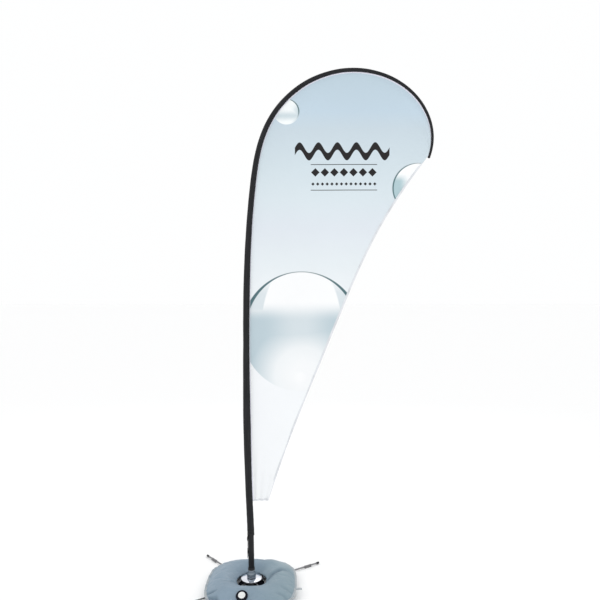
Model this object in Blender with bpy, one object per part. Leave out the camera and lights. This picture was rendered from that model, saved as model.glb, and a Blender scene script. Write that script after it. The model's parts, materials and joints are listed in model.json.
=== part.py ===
"""Teardrop flag on a turning spigot, with a folding rod cross under it and a water weight ring.

Metres, +Z up. The origin is on the floor, on the axis that the flag turns about. The flag's panel
lies in the XZ plane and flies towards +X; -Y is its printed front.
"""

import math

import bmesh
import bpy
from mathutils import Matrix, Vector

GAP = 0.0003

# The pole: bend is its curvature in 1/m at distances along it, positive towards the flag.
POLE_FOOT_Z = 0.0788
POLE_LEAN = -0.016  # radians, the heading of the pole's foot
POLE_LENGTH = 3.489
POLE_STEP = 0.005
BEND = (
    (0.00, 0.0),
    (0.11, 0.0),
    (0.15, -0.262),
    (0.25, -0.262),
    (0.29, 0.091),
    (1.10, 0.027),
    (1.95, 0.25),
    (2.25, 1.94),
    (2.90, 2.19),
    (3.20, 2.91),
    (3.50, 3.94),
)

CURL_START = 1.90
POLE_SIDES = 12
BEND_GAP = 0.0004  # between pieces that follow the pole's bend inside each other

# Pole sections: name, where it starts and ends along the pole, outer and inner radius.
SECTIONS = (
    ("pole_lower_tube", 0.0, 0.96, 0.0148, 0.0125),
    ("pole_middle_tube", 0.86, 1.84, 0.0102, 0.0086),
    ("pole_upper_tube", 1.75, 2.60, 0.0070, 0.0048),
    ("pole_tip_rod", 2.52, 3.472, 0.0035, 0.0),
)
FERRULE_LENGTH = 0.045
FERRULE_WALL = 0.0008

# The sleeve's outer radius at distances along the pole.
SLEEVE_START = 0.205
SLEEVE_END = 3.468
SLEEVE_WALL = 0.0007
SLEEVE_RADIUS = (
    (0.20, 0.0174),
    (0.45, 0.0172),
    (0.72, 0.0190),
    (0.95, 0.0172),
    (1.14, 0.0160),
    (1.44, 0.0166),
    (1.67, 0.0151),
    (1.97, 0.0143),
    (2.40, 0.0124),
    (2.90, 0.0093),
    (3.25, 0.0072),
    (3.50, 0.0062),
)
CUFF_LENGTH = 0.030
TIP_BALL_RADIUS = 0.0072

# The flag's panel.
PANEL_THICKNESS = 0.0010
PANEL_TIP_ALONG = 3.484
PANEL_FOOT_ALONG = 0.344
PANEL_FOOT_CORNER = (0.0850, 0.4270)
FREE_EDGE_WAVES = (0.0710, 0.0138, 0.0081)  # hollow of the free edge, as sine waves along its chord

# The tension strap on the pole's -X side.
STRAP_WIDTH = 0.019
STRAP_THICKNESS = 0.0010
STRAP_STAND_OFF = 0.0013  # from the pole's surface to the strap, room for the slider's back web
STRAP_BOTTOM = 0.088
SLIDER_AT = 0.158
SLIDER_HEIGHT = 0.017
SLIDER_SLACK = 0.0004
SLIDER_SIDE = 0.0020  # the slider's walls beside its slot
SLIDER_WEB = STRAP_STAND_OFF - SLIDER_SLACK - GAP
STUD_AT = 0.070
HOOK_THICKNESS = 0.0020

# The base: heights of the stack on the centre bolt.
BOLT_RADIUS = 0.0040
BORE_RADIUS = BOLT_RADIUS + GAP
HEX_ACROSS = 0.0130
PAD_RADIUS = 0.068
PAD_TOP = 0.0030
BOLT_HEAD = (0.0043, 0.0095)
LOWER_BOSS = (0.0098, 0.0208)
UPPER_BOSS = (0.0211, 0.0321)
BOSS_RADIUS = 0.0220
DISC_RADIUS = 0.0520
BOLT_TOP = 0.0760

# The four rods: their directions in degrees from +X, seen from above.
LOWER_RODS = {"lower_front_left": 213.0, "lower_back_right": 33.0}
UPPER_RODS = {"upper_back_left": 131.5, "upper_front_right": 311.5}
ROD_RADIUS = 0.0038
ROD_START = 0.0085
ROD_END = 0.4080
ROD_LEVEL_Z = 0.0080
ROD_DIP = (0.026, 0.075)
FOOT_SPAN = (0.322, 0.362)
FOOT_HALF_WIDTH = 0.0058
END_CAP_SPAN = (0.3985, 0.4150)
END_CAP_RADIUS = 0.0056

# The turning spigot and its two ball bearings.
BEARING_HEIGHTS = {"lower": (0.0445, 0.0515), "upper": (0.0575, 0.0645)}
BEARING_OUTER = 0.0110
BALL_RADIUS = 0.0014
BALL_PITCH = 0.0079
BALL_COUNT = 7
SPIGOT_ROOT_RADIUS = 0.0117
SPIGOT_ROOT_TOP = 0.0765
SPIGOT_RADIUS = 0.0098
SPIGOT_TOP = 0.1800

# The water ring: hole and outline.
BAG_HOLE_CENTRE = (0.003, -0.022)
BAG_OUTER_CENTRE = (0.004, -0.039)
BAG_HOLE_HALF = (0.0720, 0.0780)
BAG_HALF = (0.2170, 0.2270)
BAG_SQUARENESS = 3.2
BAG_SIDES = 40
# Its section, from the hole (0) to the outer edge (1), with the height at each point.
BAG_SECTION = (
    (0.000, 0.0350),
    (0.025, 0.0400),
    (0.100, 0.0530),
    (0.240, 0.0660),
    (0.400, 0.0705),
    (0.550, 0.0665),
    (0.700, 0.0575),
    (0.820, 0.0495),
    (0.920, 0.0425),
    (1.000, 0.0335),
    (0.985, 0.0255),
    (0.930, 0.0180),
    (0.850, 0.0140),
    (0.280, 0.0140),
    (0.180, 0.0170),
    (0.070, 0.0250),
    (0.015, 0.0300),
)
FLANGE_WIDTH = 0.0075
FLANGE_HEIGHTS = (0.0325, 0.0342)

# The filler: its place on the ring, how far its axis leans to the front, and its radii.
FILLER_AT = (-0.0270, -0.2110, 0.0545)
FILLER_LEAN = math.radians(27.0)
NECK_RADIUS = 0.0277
NECK_BORE = 0.0173
NECK_HEIGHT = 0.0085
CAP_RADIUS = 0.0168
GASKET_BORE = 0.0120

BLACK_WEBBING = ("black_webbing", (0.020, 0.021, 0.023), 0.85, 0.0)
BLACK_TUBE = ("black_glass_fibre", (0.025, 0.025, 0.027), 0.45, 0.0)
BLACK_PLASTIC = ("black_plastic", (0.030, 0.030, 0.032), 0.50, 0.0)
PRINTED_POLYESTER = ("printed_polyester", (0.80, 0.87, 0.91), 0.80, 0.0)
CHROME = ("chrome_plate", (0.86, 0.87, 0.89), 0.10, 1.0)
BRIGHT_ALUMINIUM = ("bright_aluminium", (0.62, 0.64, 0.66), 0.28, 1.0)
ZINC_STEEL = ("zinc_steel", (0.55, 0.56, 0.58), 0.40, 1.0)
BEARING_STEEL = ("bearing_steel", (0.70, 0.70, 0.72), 0.20, 1.0)
ROD_STEEL = ("rod_steel", (0.42, 0.42, 0.44), 0.38, 1.0)
BLACK_RUBBER = ("black_rubber", (0.035, 0.035, 0.037), 0.80, 0.0)
COATED_FABRIC = ("coated_fabric", (0.27, 0.35, 0.42), 0.55, 0.0)
WELDED_EDGE = ("welded_edge", (0.45, 0.47, 0.48), 0.60, 0.0)
WHITE_PLASTIC = ("white_plastic", (0.86, 0.87, 0.87), 0.35, 0.0)


def clear_scene():
    for old in list(bpy.data.objects):
        bpy.data.objects.remove(old)


def material(finish):
    name, colour, roughness, metallic = finish
    made = bpy.data.materials.get(name)
    if made is None:
        made = bpy.data.materials.new(name)
        made.use_nodes = True
        shader = made.node_tree.nodes["Principled BSDF"]
        shader.inputs["Base Color"].default_value = (*colour, 1.0)
        shader.inputs["Roughness"].default_value = roughness
        shader.inputs["Metallic"].default_value = metallic
    return made


def pivot(name, place=(0.0, 0.0, 0.0), parent=None):
    """An empty on a joint's axis, which carries the pieces that move with it."""
    empty = bpy.data.objects.new(name, None)
    empty.empty_display_size = 0.05
    bpy.context.scene.collection.objects.link(empty)
    empty.parent = parent
    empty.location = Vector(place) - (parent.matrix_world.translation if parent else Vector())
    bpy.context.view_layer.update()
    return empty


def add(name, bm, finish, parent, place=None, sharp=35.0):
    """Links a finished mesh, placed in the world and carried by its pivot."""
    bmesh.ops.remove_doubles(bm, verts=bm.verts, dist=1e-6)
    bmesh.ops.recalc_face_normals(bm, faces=bm.faces)
    mesh = bpy.data.meshes.new(name)
    bm.to_mesh(mesh)
    bm.free()
    mesh.shade_smooth()
    mesh.set_sharp_from_angle(angle=math.radians(sharp))
    piece = bpy.data.objects.new(name, mesh)
    piece.data.materials.append(material(finish))
    bpy.context.scene.collection.objects.link(piece)
    piece.matrix_world = place or Matrix()
    if parent:
        piece.parent = parent
        piece.matrix_parent_inverse = parent.matrix_world.inverted()
    return piece


def cut(piece, cutter):
    """Takes the cutter's shape out of the piece, and hides the cutter."""
    cutter.hide_render = True
    cutter.display_type = "WIRE"
    boolean = piece.modifiers.new("cut_" + cutter.name, "BOOLEAN")
    boolean.operation = "DIFFERENCE"
    boolean.solver = "EXACT"
    boolean.object = cutter


def between(stations, at):
    """The value at a distance, straight between the stations around it."""
    for (a, low), (b, high) in zip(stations, stations[1:]):
        if at <= b:
            return low + (high - low) * max(at - a, 0.0) / (b - a)
    return stations[-1][1]


def spread(start, end, step):
    """Distances from start to end, as near to step apart as divides them evenly."""
    count = max(1, round((end - start) / step))
    return [start + (end - start) * i / count for i in range(count + 1)]


def ringed(profile, frame, segments):
    """A closed body of rings about an axis line, which may be curved.

    profile is a closed loop of (distance along the line, radius); a radius may be a function of the
    angle around the line. frame gives the line's point and its two cross directions at a distance.
    """
    bm = bmesh.new()
    rings = []
    for along, radius in profile:
        centre, across, over = frame(along)
        ring = []
        for i in range(segments):
            angle = math.tau * i / segments
            reach = radius(angle) if callable(radius) else radius
            point = centre + across * (reach * math.cos(angle)) + over * (reach * math.sin(angle))
            ring.append(bm.verts.new(point))
        rings.append((ring, radius == 0.0))
    for (ring, on_axis), (following, next_on_axis) in zip(rings, rings[1:] + rings[:1]):
        if on_axis and next_on_axis:
            continue
        for i in range(segments):
            j = (i + 1) % segments
            bm.faces.new((ring[i], ring[j], following[j], following[i]))
    return bm


def upright(height):
    return Vector((0.0, 0.0, height)), Vector((1.0, 0.0, 0.0)), Vector((0.0, 1.0, 0.0))


def turned(name, profile, finish, parent, segments=32, place=None):
    """A piece turned about a straight upright axis from (height, radius) points."""
    return add(name, ringed(profile, upright, segments), finish, parent, place)


def tube_profile(low, high, bore, outside, chamfer=0.0):
    """A plain ring or disc from low to high, with both outer corners chamfered."""
    points = [(low, bore), (low, outside - chamfer)]
    if chamfer:
        points += [(low + chamfer, outside), (high - chamfer, outside)]
    else:
        points += [(high, outside)]
    return points + ([(high, outside - chamfer)] if chamfer else []) + [(high, bore)]


def hexagon(angle):
    return HEX_ACROSS / 2 / math.cos((angle + math.pi / 6) % (math.pi / 3) - math.pi / 6)


# ---------------------------------------------------------------- pole and flag


def pole_points():
    """(distance, place, heading) every step along the pole; heading is 0 upright, growing to +X."""
    points = []
    x, z, heading = 0.0, POLE_FOOT_Z, POLE_LEAN
    for i in range(round(POLE_LENGTH / POLE_STEP) + 2):
        points.append((i * POLE_STEP, Vector((x, 0.0, z)), heading))
        middle = heading + between(BEND, i * POLE_STEP) * POLE_STEP / 2
        x += math.sin(middle) * POLE_STEP
        z += math.cos(middle) * POLE_STEP
        heading += between(BEND, (i + 0.5) * POLE_STEP) * POLE_STEP
    return points


POLE = pole_points()


def pole_frame(along):
    """The pole's point at a distance, with the directions towards the flag and to the back."""
    i = min(int(along / POLE_STEP), len(POLE) - 2)
    share = along / POLE_STEP - i
    centre = POLE[i][1].lerp(POLE[i + 1][1], share)
    heading = POLE[i][2] + (POLE[i + 1][2] - POLE[i][2]) * share
    return centre, Vector((math.cos(heading), 0.0, -math.sin(heading))), Vector((0.0, 1.0, 0.0))


def sleeve_radius(along):
    return between(SLEEVE_RADIUS, along)


def pole_piece(name, outer_stations, inner_stations, finish, parent):
    """A piece about the pole's own line, from its outer profile and its inner one."""
    profile = list(outer_stations) + list(reversed(inner_stations))
    return add(name, ringed(profile, pole_frame, POLE_SIDES), finish, parent)


def pole_stations(start, end):
    """Both ends, and the places between them where every piece on the pole has a ring."""
    shared = spread(0.10, 0.30, 0.025) + spread(0.30, CURL_START, 0.10)[1:]
    shared += spread(CURL_START, POLE_LENGTH, 0.030)[1:]
    return [start] + [s for s in shared if start + 0.005 < s < end - 0.005] + [end]


def pole_sections(parent):
    for name, start, end, outside, inside in SECTIONS:
        stations = pole_stations(start, end)
        outer = [(s, outside) for s in stations]
        inner = [(s, inside) for s in stations] if inside else [(start, 0.0), (end, 0.0)]
        pole_piece(name, outer, inner, BLACK_TUBE, parent)


def pole_joints(parent):
    """The bush on the foot of each thinner section and the ferrule round the end that takes it."""
    names = ("lower", "middle", "upper")
    for name, thick, thin in zip(names, SECTIONS, SECTIONS[1:]):
        end, thick_outside, thick_inside = thick[2:]
        start, thin_outside = thin[1], thin[3]
        bush = pole_stations(start + 0.004, end - 0.002)
        bush_outside, bush_inside = thick_inside - BEND_GAP, thin_outside + BEND_GAP
        pole_piece(
            f"{name}_joint_bush",
            [(s, bush_outside) for s in bush],
            [(s, bush_inside) for s in bush],
            BLACK_PLASTIC,
            parent,
        )
        ferrule = pole_stations(end - FERRULE_LENGTH, end)
        inside = thick_outside + BEND_GAP
        pole_piece(
            f"{name}_joint_ferrule",
            [(s, inside + FERRULE_WALL) for s in ferrule],
            [(s, inside) for s in ferrule],
            ZINC_STEEL,
            parent,
        )


def pole_tip_cap(parent):
    start = SECTIONS[-1][2] + GAP
    profile = ((start, 0.0), (start, 0.0036), (start + 0.006, 0.0036), (start + 0.0075, 0.0))
    pole_piece("pole_tip_cap", profile, (), BLACK_PLASTIC, parent)


def pole_foot_ring(parent):
    inside = SECTIONS[0][3] + GAP
    outer = ((0.0, 0.0168), (0.0015, 0.0172), (0.0090, 0.0172), (0.0115, 0.0168))
    inner = ((0.0, inside), (0.0115, inside))
    pole_piece("pole_foot_ring", outer, inner, BLACK_PLASTIC, parent)


def sleeve_stations():
    """Distances along the pole: wide apart where it is nearly straight, closer round the top."""
    return spread(SLEEVE_START, CURL_START, 0.085) + spread(CURL_START, SLEEVE_END, 0.043)[1:]


def pole_sleeve(parent):
    """The fabric tube that the pole pushes up into."""
    stations = sleeve_stations()
    pole_piece(
        "pole_sleeve",
        [(s, sleeve_radius(s)) for s in stations],
        [(s, sleeve_radius(s) - SLEEVE_WALL) for s in stations],
        BLACK_WEBBING,
        parent,
    )


def sleeve_tip_pocket(parent):
    """The sewn-shut end of the sleeve, a rounded cup round the pole's tip."""
    start, end = SLEEVE_END + GAP, POLE_LENGTH
    centre = end - TIP_BALL_RADIUS
    ball = []
    for i in range(5):
        angle = math.radians(30 - 100 * i / 4)
        ball.append((centre - TIP_BALL_RADIUS * math.sin(angle), TIP_BALL_RADIUS * math.cos(angle)))
    outer = [(start, sleeve_radius(start))] + ball + [(end, 0.0)]
    inner = ((start, 0.0045), (end - 0.0050, 0.0045), (end - 0.0040, 0.0))
    pole_piece("sleeve_tip_pocket", outer, inner, BLACK_WEBBING, parent)


def sleeve_cuff(parent):
    """The doubled band at the sleeve's foot that the strap is sewn to."""
    start, end = SLEEVE_START - GAP - CUFF_LENGTH, SLEEVE_START - GAP
    outside, inside = sleeve_radius(end) + 0.0004, SECTIONS[0][3] + GAP
    outer = ((start, outside), (start + CUFF_LENGTH / 2, outside), (end, outside))
    inner = ((start, inside), (start + CUFF_LENGTH / 2, inside), (end, inside))
    return pole_piece("sleeve_foot_cuff", outer, inner, BLACK_WEBBING, parent)


def panel_outline():
    """The flag's outline in (x, z): up the sleeve's inner side, then down the bowed free edge."""
    points = []
    for along in [PANEL_FOOT_ALONG] + [s for s in sleeve_stations() if s > PANEL_FOOT_ALONG]:
        centre, inwards, _ = pole_frame(along)
        point = centre + inwards * (sleeve_radius(along) + GAP)
        points.append((point.x, point.z))
    centre, inwards, _ = pole_frame(PANEL_TIP_ALONG)
    point = centre + inwards * (TIP_BALL_RADIUS + 2 * GAP)
    points.append((point.x, point.z))
    top, foot = Vector(points[-1]), Vector(PANEL_FOOT_CORNER)
    line = foot - top
    inside = Vector((line.y, -line.x)).normalized()
    steps = 26
    for i in range(1, steps + 1):
        share = i / steps
        bow = sum(size * math.sin(math.pi * (k + 1) * share) for k, size in enumerate(FREE_EDGE_WAVES))
        point = top + line * share + inside * bow
        points.append((point.x, point.y))
    return points


def flag_panel(parent):
    bm = bmesh.new()
    front = [bm.verts.new((x, -PANEL_THICKNESS / 2, z)) for x, z in panel_outline()]
    face = bm.faces.new(front)
    grown = bmesh.ops.extrude_face_region(bm, geom=[face])["geom"]
    back = [item for item in grown if isinstance(item, bmesh.types.BMVert)]
    bmesh.ops.translate(bm, verts=back, vec=(0.0, PANEL_THICKNESS, 0.0))
    bmesh.ops.triangulate(bm, faces=bm.faces)
    add("flag_panel", bm, PRINTED_POLYESTER, parent)


# ---------------------------------------------------------------- tension strap


def strip(start, end, inner_face, thickness, width, step=0.02):
    """A flat strip that follows the pole's -X side between two distances along it."""
    bm = bmesh.new()
    corners = (
        (inner_face, -width / 2),
        (inner_face, width / 2),
        (inner_face + thickness, width / 2),
        (inner_face + thickness, -width / 2),
    )
    rings = []
    for along in spread(start, end, step):
        centre, inwards, back = pole_frame(along)
        rings.append([bm.verts.new(centre - inwards * out + back * side) for out, side in corners])
    for ring, following in zip(rings, rings[1:]):
        for i in range(4):
            j = (i + 1) % 4
            bm.faces.new((ring[i], ring[j], following[j], following[i]))
    bm.faces.new(rings[0])
    bm.faces.new(rings[-1])
    return bm


def strap_face():
    """How far the strap's inner face stands from the pole's line."""
    return SECTIONS[0][3] + STRAP_STAND_OFF


def tension_strap(parent):
    top = SLEEVE_START - 2 * GAP - CUFF_LENGTH
    bm = strip(STRAP_BOTTOM, top, strap_face(), STRAP_THICKNESS, STRAP_WIDTH)
    add("tension_strap", bm, BLACK_WEBBING, parent)


def strap_slider(parent):
    """The buckle that the webbing is pulled through: a flat box with a slot down it."""
    start, end = SLIDER_AT - SLIDER_HEIGHT / 2, SLIDER_AT + SLIDER_HEIGHT / 2
    slot_depth = STRAP_THICKNESS + 2 * SLIDER_SLACK
    slot_width = STRAP_WIDTH + 2 * SLIDER_SLACK
    outside = strip(start, end, SECTIONS[0][3] + GAP, slot_depth + 2 * SLIDER_WEB, slot_width + 2 * SLIDER_SIDE)
    body = add("strap_slider", outside, BLACK_PLASTIC, parent)
    slot = strip(start - 0.005, end + 0.005, strap_face() - SLIDER_SLACK, slot_depth, slot_width)
    cut(body, add("slider_slot", slot, BLACK_PLASTIC, parent))


def strap_hook(parent):
    """The eye plate at the strap's end, held on the stud in the pole."""
    start, end = STUD_AT - 0.009, STRAP_BOTTOM - GAP
    body = add(
        "strap_hook",
        strip(start, end, strap_face(), HOOK_THICKNESS, STRAP_WIDTH - 0.002),
        ZINC_STEEL,
        parent,
    )
    cut(body, sideways_pin("hook_eye", ((0.0, 0.0), (0.0, 0.0042), (0.02, 0.0042), (0.02, 0.0)), parent))


def sideways_pin(name, profile, parent):
    """A turned piece that stands out of the pole's -X side at the stud's height."""
    centre, inwards, back = pole_frame(STUD_AT)
    inner_end = centre - inwards * (SECTIONS[0][3] + GAP)
    across = inwards.cross(back)

    def frame(out):
        return inner_end - inwards * out, back, across

    return add(name, ringed(profile, frame, 20), ZINC_STEEL, parent)


def hook_stud(parent):
    neck_end = STRAP_STAND_OFF + HOOK_THICKNESS
    profile = (
        (0.0, 0.0),
        (0.0, 0.0036),
        (neck_end, 0.0036),
        (neck_end, 0.0060),
        (neck_end + 0.0014, 0.0052),
        (neck_end + 0.0020, 0.0),
    )
    sideways_pin("hook_stud", profile, parent)


# ---------------------------------------------------------------- turning spigot


def collar_housing(parent):
    """The silver collar: its bore holds both bearings, its top carries the pole."""
    bearing_bore = BEARING_OUTER + GAP
    spigot_bore = SPIGOT_ROOT_RADIUS + GAP
    profile = (
        (0.0425, bearing_bore),
        (0.0425, 0.0225),
        (0.0445, 0.0229),
        (0.0530, 0.0228),
        (0.0580, 0.0219),
        (0.0640, 0.0203),
        (0.0700, 0.0182),
        (0.0765, 0.0174),
        (0.0782, 0.0164),
        (0.0782, spigot_bore),
        (0.0668, spigot_bore),
        (0.0668, bearing_bore),
    )
    turned("collar_housing", profile, BRIGHT_ALUMINIUM, parent, 32)


def spigot(parent):
    """The tube that the pole drops on to: a wide root in the collar, then a slimmer shank."""
    low = 0.0671
    wall = 0.0023
    profile = (
        (low, SPIGOT_ROOT_RADIUS - wall),
        (low, SPIGOT_ROOT_RADIUS),
        (SPIGOT_ROOT_TOP + wall / 2, SPIGOT_ROOT_RADIUS),
        (SPIGOT_ROOT_TOP + wall, SPIGOT_RADIUS),
        (SPIGOT_TOP, SPIGOT_RADIUS),
        (SPIGOT_TOP, SPIGOT_RADIUS - wall),
        (SPIGOT_ROOT_TOP, SPIGOT_RADIUS - wall),
        (SPIGOT_ROOT_TOP, SPIGOT_ROOT_RADIUS - wall),
    )
    turned("spigot_tube", profile, ZINC_STEEL, parent, 28)
    cap_low = SPIGOT_TOP + GAP
    cap = (
        (cap_low - 0.0120, 0.0),
        (cap_low - 0.0120, 0.0070),
        (cap_low, 0.0071),
        (cap_low, 0.0099),
        (cap_low + 0.0030, 0.0088),
        (cap_low + 0.0050, 0.0060),
        (cap_low + 0.0050, 0.0),
    )
    turned("spigot_cap", cap, BLACK_PLASTIC, parent, 24)


def bearing_rings(which, base, rotor):
    low, high = BEARING_HEIGHTS[which]
    outer = tube_profile(low, high, 0.0096, BEARING_OUTER, 0.0004)
    inner = tube_profile(low, high, BORE_RADIUS, 0.0062)
    turned(f"{which}_bearing_outer_ring", outer, BEARING_STEEL, rotor, 28)
    turned(f"{which}_bearing_inner_ring", inner, BEARING_STEEL, base, 24)


def bearing_cage(which, parent):
    """The balls with the cage ring that keeps them apart."""
    low, high = BEARING_HEIGHTS[which]
    middle = (low + high) / 2
    ring = tube_profile(middle - 0.0007, middle + 0.0007, BALL_PITCH - 0.0006, BALL_PITCH + 0.0006)
    cage = turned(f"{which}_bearing_balls", ring, BEARING_STEEL, parent, 28)
    for i in range(BALL_COUNT):
        angle = math.tau * (i + 0.37) / BALL_COUNT
        place = Vector((math.cos(angle) * BALL_PITCH, math.sin(angle) * BALL_PITCH, middle))
        bm = bmesh.new()
        bmesh.ops.create_icosphere(bm, subdivisions=1, radius=BALL_RADIUS)
        ball = add(f"{which}_ball_{i}", bm, BEARING_STEEL, parent, Matrix.Translation(place), 80)
        ball.hide_render = True
        ball.display_type = "WIRE"
        joined = cage.modifiers.new(f"ball_{i}", "BOOLEAN")
        joined.operation = "UNION"
        joined.solver = "EXACT"
        joined.object = ball


def circlip(parent):
    """The open spring ring above the upper bearing."""
    bm = bmesh.new()
    low, high = 0.0648, 0.0658
    rows = []
    for i in range(25):
        angle = math.radians(18 + 324 * i / 24)
        direction = Vector((math.cos(angle), math.sin(angle), 0.0))
        corners = ((0.0098, low), (0.0110, low), (0.0110, high), (0.0098, high))
        rows.append([bm.verts.new(direction * r + Vector((0.0, 0.0, z))) for r, z in corners])
    for row, following in zip(rows, rows[1:]):
        for i in range(4):
            j = (i + 1) % 4
            bm.faces.new((row[i], row[j], following[j], following[i]))
    bm.faces.new(rows[0])
    bm.faces.new(rows[-1])
    add("circlip", bm, ZINC_STEEL, parent)


# ---------------------------------------------------------------- base


def centre_pad(parent):
    profile = tube_profile(0.0, PAD_TOP, 0.0, PAD_RADIUS)
    turned("centre_pad", profile, BLACK_RUBBER, parent, 32)


def centre_bolt(parent):
    low, high = BOLT_HEAD
    profile = (
        (low, 0.0),
        (low, hexagon),
        (high, hexagon),
        (high, BOLT_RADIUS),
        (BOLT_TOP - 0.0008, BOLT_RADIUS),
        (BOLT_TOP, 0.0032),
        (BOLT_TOP, 0.0),
    )
    turned("centre_bolt", profile, ZINC_STEEL, parent, 24)


def clamp_stack(parent):
    """Washers, spacers and the lock nut, from the disc up."""
    turned("boss_washer", tube_profile(0.0324, 0.0336, BORE_RADIUS, 0.0120), ZINC_STEEL, parent, 24)
    turned("disc_spacer", tube_profile(0.0408, 0.0442, BORE_RADIUS, 0.0062), ZINC_STEEL, parent, 20)
    turned("bearing_spacer", tube_profile(0.0518, 0.0572, BORE_RADIUS, 0.0060), ZINC_STEEL, parent, 20)
    turned("top_washer", tube_profile(0.0648, 0.0660, BORE_RADIUS, 0.0072), ZINC_STEEL, parent, 20)
    nut = ((0.0663, BORE_RADIUS), (0.0663, hexagon), (0.0728, hexagon), (0.0728, BORE_RADIUS))
    turned("lock_nut", nut, ZINC_STEEL, parent, 24)


def cover_disc(parent):
    """The bright round plate under the collar, slightly dished down to its rim."""
    profile = (
        (0.0339, BORE_RADIUS),
        (0.0339, 0.0300),
        (0.0345, 0.0505),
        (0.0352, DISC_RADIUS),
        (0.0368, DISC_RADIUS),
        (0.0378, 0.0508),
        (0.0386, 0.0420),
        (0.0396, 0.0260),
        (0.0405, 0.0180),
        (0.0405, BORE_RADIUS),
    )
    turned("cover_disc", profile, CHROME, parent, 36)


def rod_frame(azimuth, boss_z):
    """The line of a rod: straight out of its boss, then eased down to its level."""
    out = Vector((math.cos(azimuth), math.sin(azimuth), 0.0))
    side = Vector((-math.sin(azimuth), math.cos(azimuth), 0.0))
    drop = boss_z - ROD_LEVEL_Z

    def height(along):
        share = min(max((along - ROD_DIP[0]) / (ROD_DIP[1] - ROD_DIP[0]), 0.0), 1.0)
        return boss_z - drop * share * share * (3 - 2 * share)

    def frame(along):
        slope = (height(along + 0.0005) - height(along - 0.0005)) / 0.001
        tangent = (out + Vector((0.0, 0.0, slope))).normalized()
        return out * along + Vector((0.0, 0.0, height(along))), side, tangent.cross(side) * -1.0

    return frame


def foot_reach(angle):
    """The foot's section about its rod: round over the top, square down to a flat sole."""
    across, up = abs(math.cos(angle)), math.sin(angle)
    if up >= 0:
        return FOOT_HALF_WIDTH
    return min(FOOT_HALF_WIDTH / max(across, 1e-9), ROD_LEVEL_Z / -up)


def leg(name, azimuth, boss_z, parent):
    """One rod with its rubber foot and its end cap."""
    line = rod_frame(math.radians(azimuth), boss_z)
    dip = spread(ROD_DIP[0], ROD_DIP[1], 0.006)
    stations = [ROD_START] + dip + [0.24, ROD_END]
    rod = [(ROD_START, 0.0)] + [(s, ROD_RADIUS) for s in stations] + [(ROD_END, 0.0)]
    add(f"{name}_rod", ringed(rod, line, 16), ROD_STEEL, parent)

    def level(along):
        centre, side, _ = line(along)
        return centre, side, Vector((0.0, 0.0, 1.0))

    bore = ROD_RADIUS + GAP
    start, end = FOOT_SPAN
    foot = [(start, bore), (start, foot_reach), (end, foot_reach), (end, bore)]
    add(f"{name}_foot", ringed(foot, level, 24), BLACK_RUBBER, parent)

    start, end = END_CAP_SPAN
    cap = [
        (start, bore),
        (start, END_CAP_RADIUS - 0.0008),
        (start + 0.0015, END_CAP_RADIUS),
        (end - 0.0030, END_CAP_RADIUS),
        (end - 0.0008, END_CAP_RADIUS - 0.0022),
        (end, 0.0),
        (ROD_END + 0.0005, 0.0),
        (ROD_END + 0.0005, bore),
    ]
    add(f"{name}_end_cap", ringed(cap, level, 16), BLACK_PLASTIC, parent)


def boss(name, heights, rods, parent):
    """A round block on the bolt with a blind hole for each of its two rods."""
    low, high = heights
    middle = (low + high) / 2
    block = turned(name, tube_profile(low, high, BORE_RADIUS, BOSS_RADIUS, 0.0010), ROD_STEEL, parent, 32)
    for i, (rod_name, azimuth) in enumerate(rods.items()):
        line = rod_frame(math.radians(azimuth), middle)

        def straight(along, line=line):
            centre, side, _ = line(0.0)
            return centre + line(1.0)[0].xy.to_3d().normalized() * along, side, Vector((0, 0, 1))

        start, end = ROD_START - GAP, BOSS_RADIUS + 0.005
        hole = ((start, 0.0), (start, ROD_RADIUS + GAP), (end, ROD_RADIUS + GAP), (end, 0.0))
        cut(block, add(f"{name}_hole_{i}", ringed(hole, straight, 16), ROD_STEEL, parent))
        leg(rod_name, azimuth, middle, parent)


# ---------------------------------------------------------------- water ring


def bag_outline(angle):
    """The ring's outer radius: a rounded square about its own centre."""
    half_x, half_y = BAG_HALF
    power = BAG_SQUARENESS
    spanned = (abs(math.cos(angle)) / half_x) ** power + (abs(math.sin(angle)) / half_y) ** power
    return spanned ** (-1 / power)


def bag_hole(angle):
    """The hole's radius, a little longer front to back."""
    half_x, half_y = BAG_HOLE_HALF
    return half_x * half_y / math.hypot(half_y * math.cos(angle), half_x * math.sin(angle))


def bag_centre(share):
    """The section's centre moves from the hole's to the outline's."""
    hole, outer = Vector(BAG_HOLE_CENTRE), Vector(BAG_OUTER_CENTRE)
    return hole.lerp(outer, share)


def water_bag(parent):
    bm = bmesh.new()
    segments = BAG_SIDES
    rings = []
    for share, height in BAG_SECTION:
        centre = bag_centre(share)
        ring = []
        for i in range(segments):
            angle = math.tau * i / segments
            reach = bag_hole(angle) + share * (bag_outline(angle) - bag_hole(angle))
            x = centre.x + reach * math.cos(angle)
            y = centre.y + reach * math.sin(angle)
            ring.append(bm.verts.new((x, y, height)))
        rings.append(ring)
    for ring, following in zip(rings, rings[1:] + rings[:1]):
        for i in range(segments):
            j = (i + 1) % segments
            bm.faces.new((ring[i], ring[j], following[j], following[i]))
    bag = add("water_bag", bm, COATED_FABRIC, parent)
    seat = ((-GAP, 0.0), (-GAP, NECK_RADIUS + 0.0008), (0.05, NECK_RADIUS + 0.0008), (0.05, 0.0))
    cut(bag, add("filler_seat", ringed(seat, upright, 28), COATED_FABRIC, parent, filler_place()))


def bag_flange(parent):
    """The welded edge that runs round the ring."""
    low, high = FLANGE_HEIGHTS
    centre = BAG_OUTER_CENTRE

    def inner(angle):
        return bag_outline(angle) + GAP

    def outer(angle):
        return bag_outline(angle) + FLANGE_WIDTH

    profile = ((low, inner), (low, outer), (high, outer), (high, inner))
    place = Matrix.Translation((centre[0], centre[1], 0.0))
    turned("bag_flange", profile, WELDED_EDGE, parent, BAG_SIDES, place)


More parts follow.
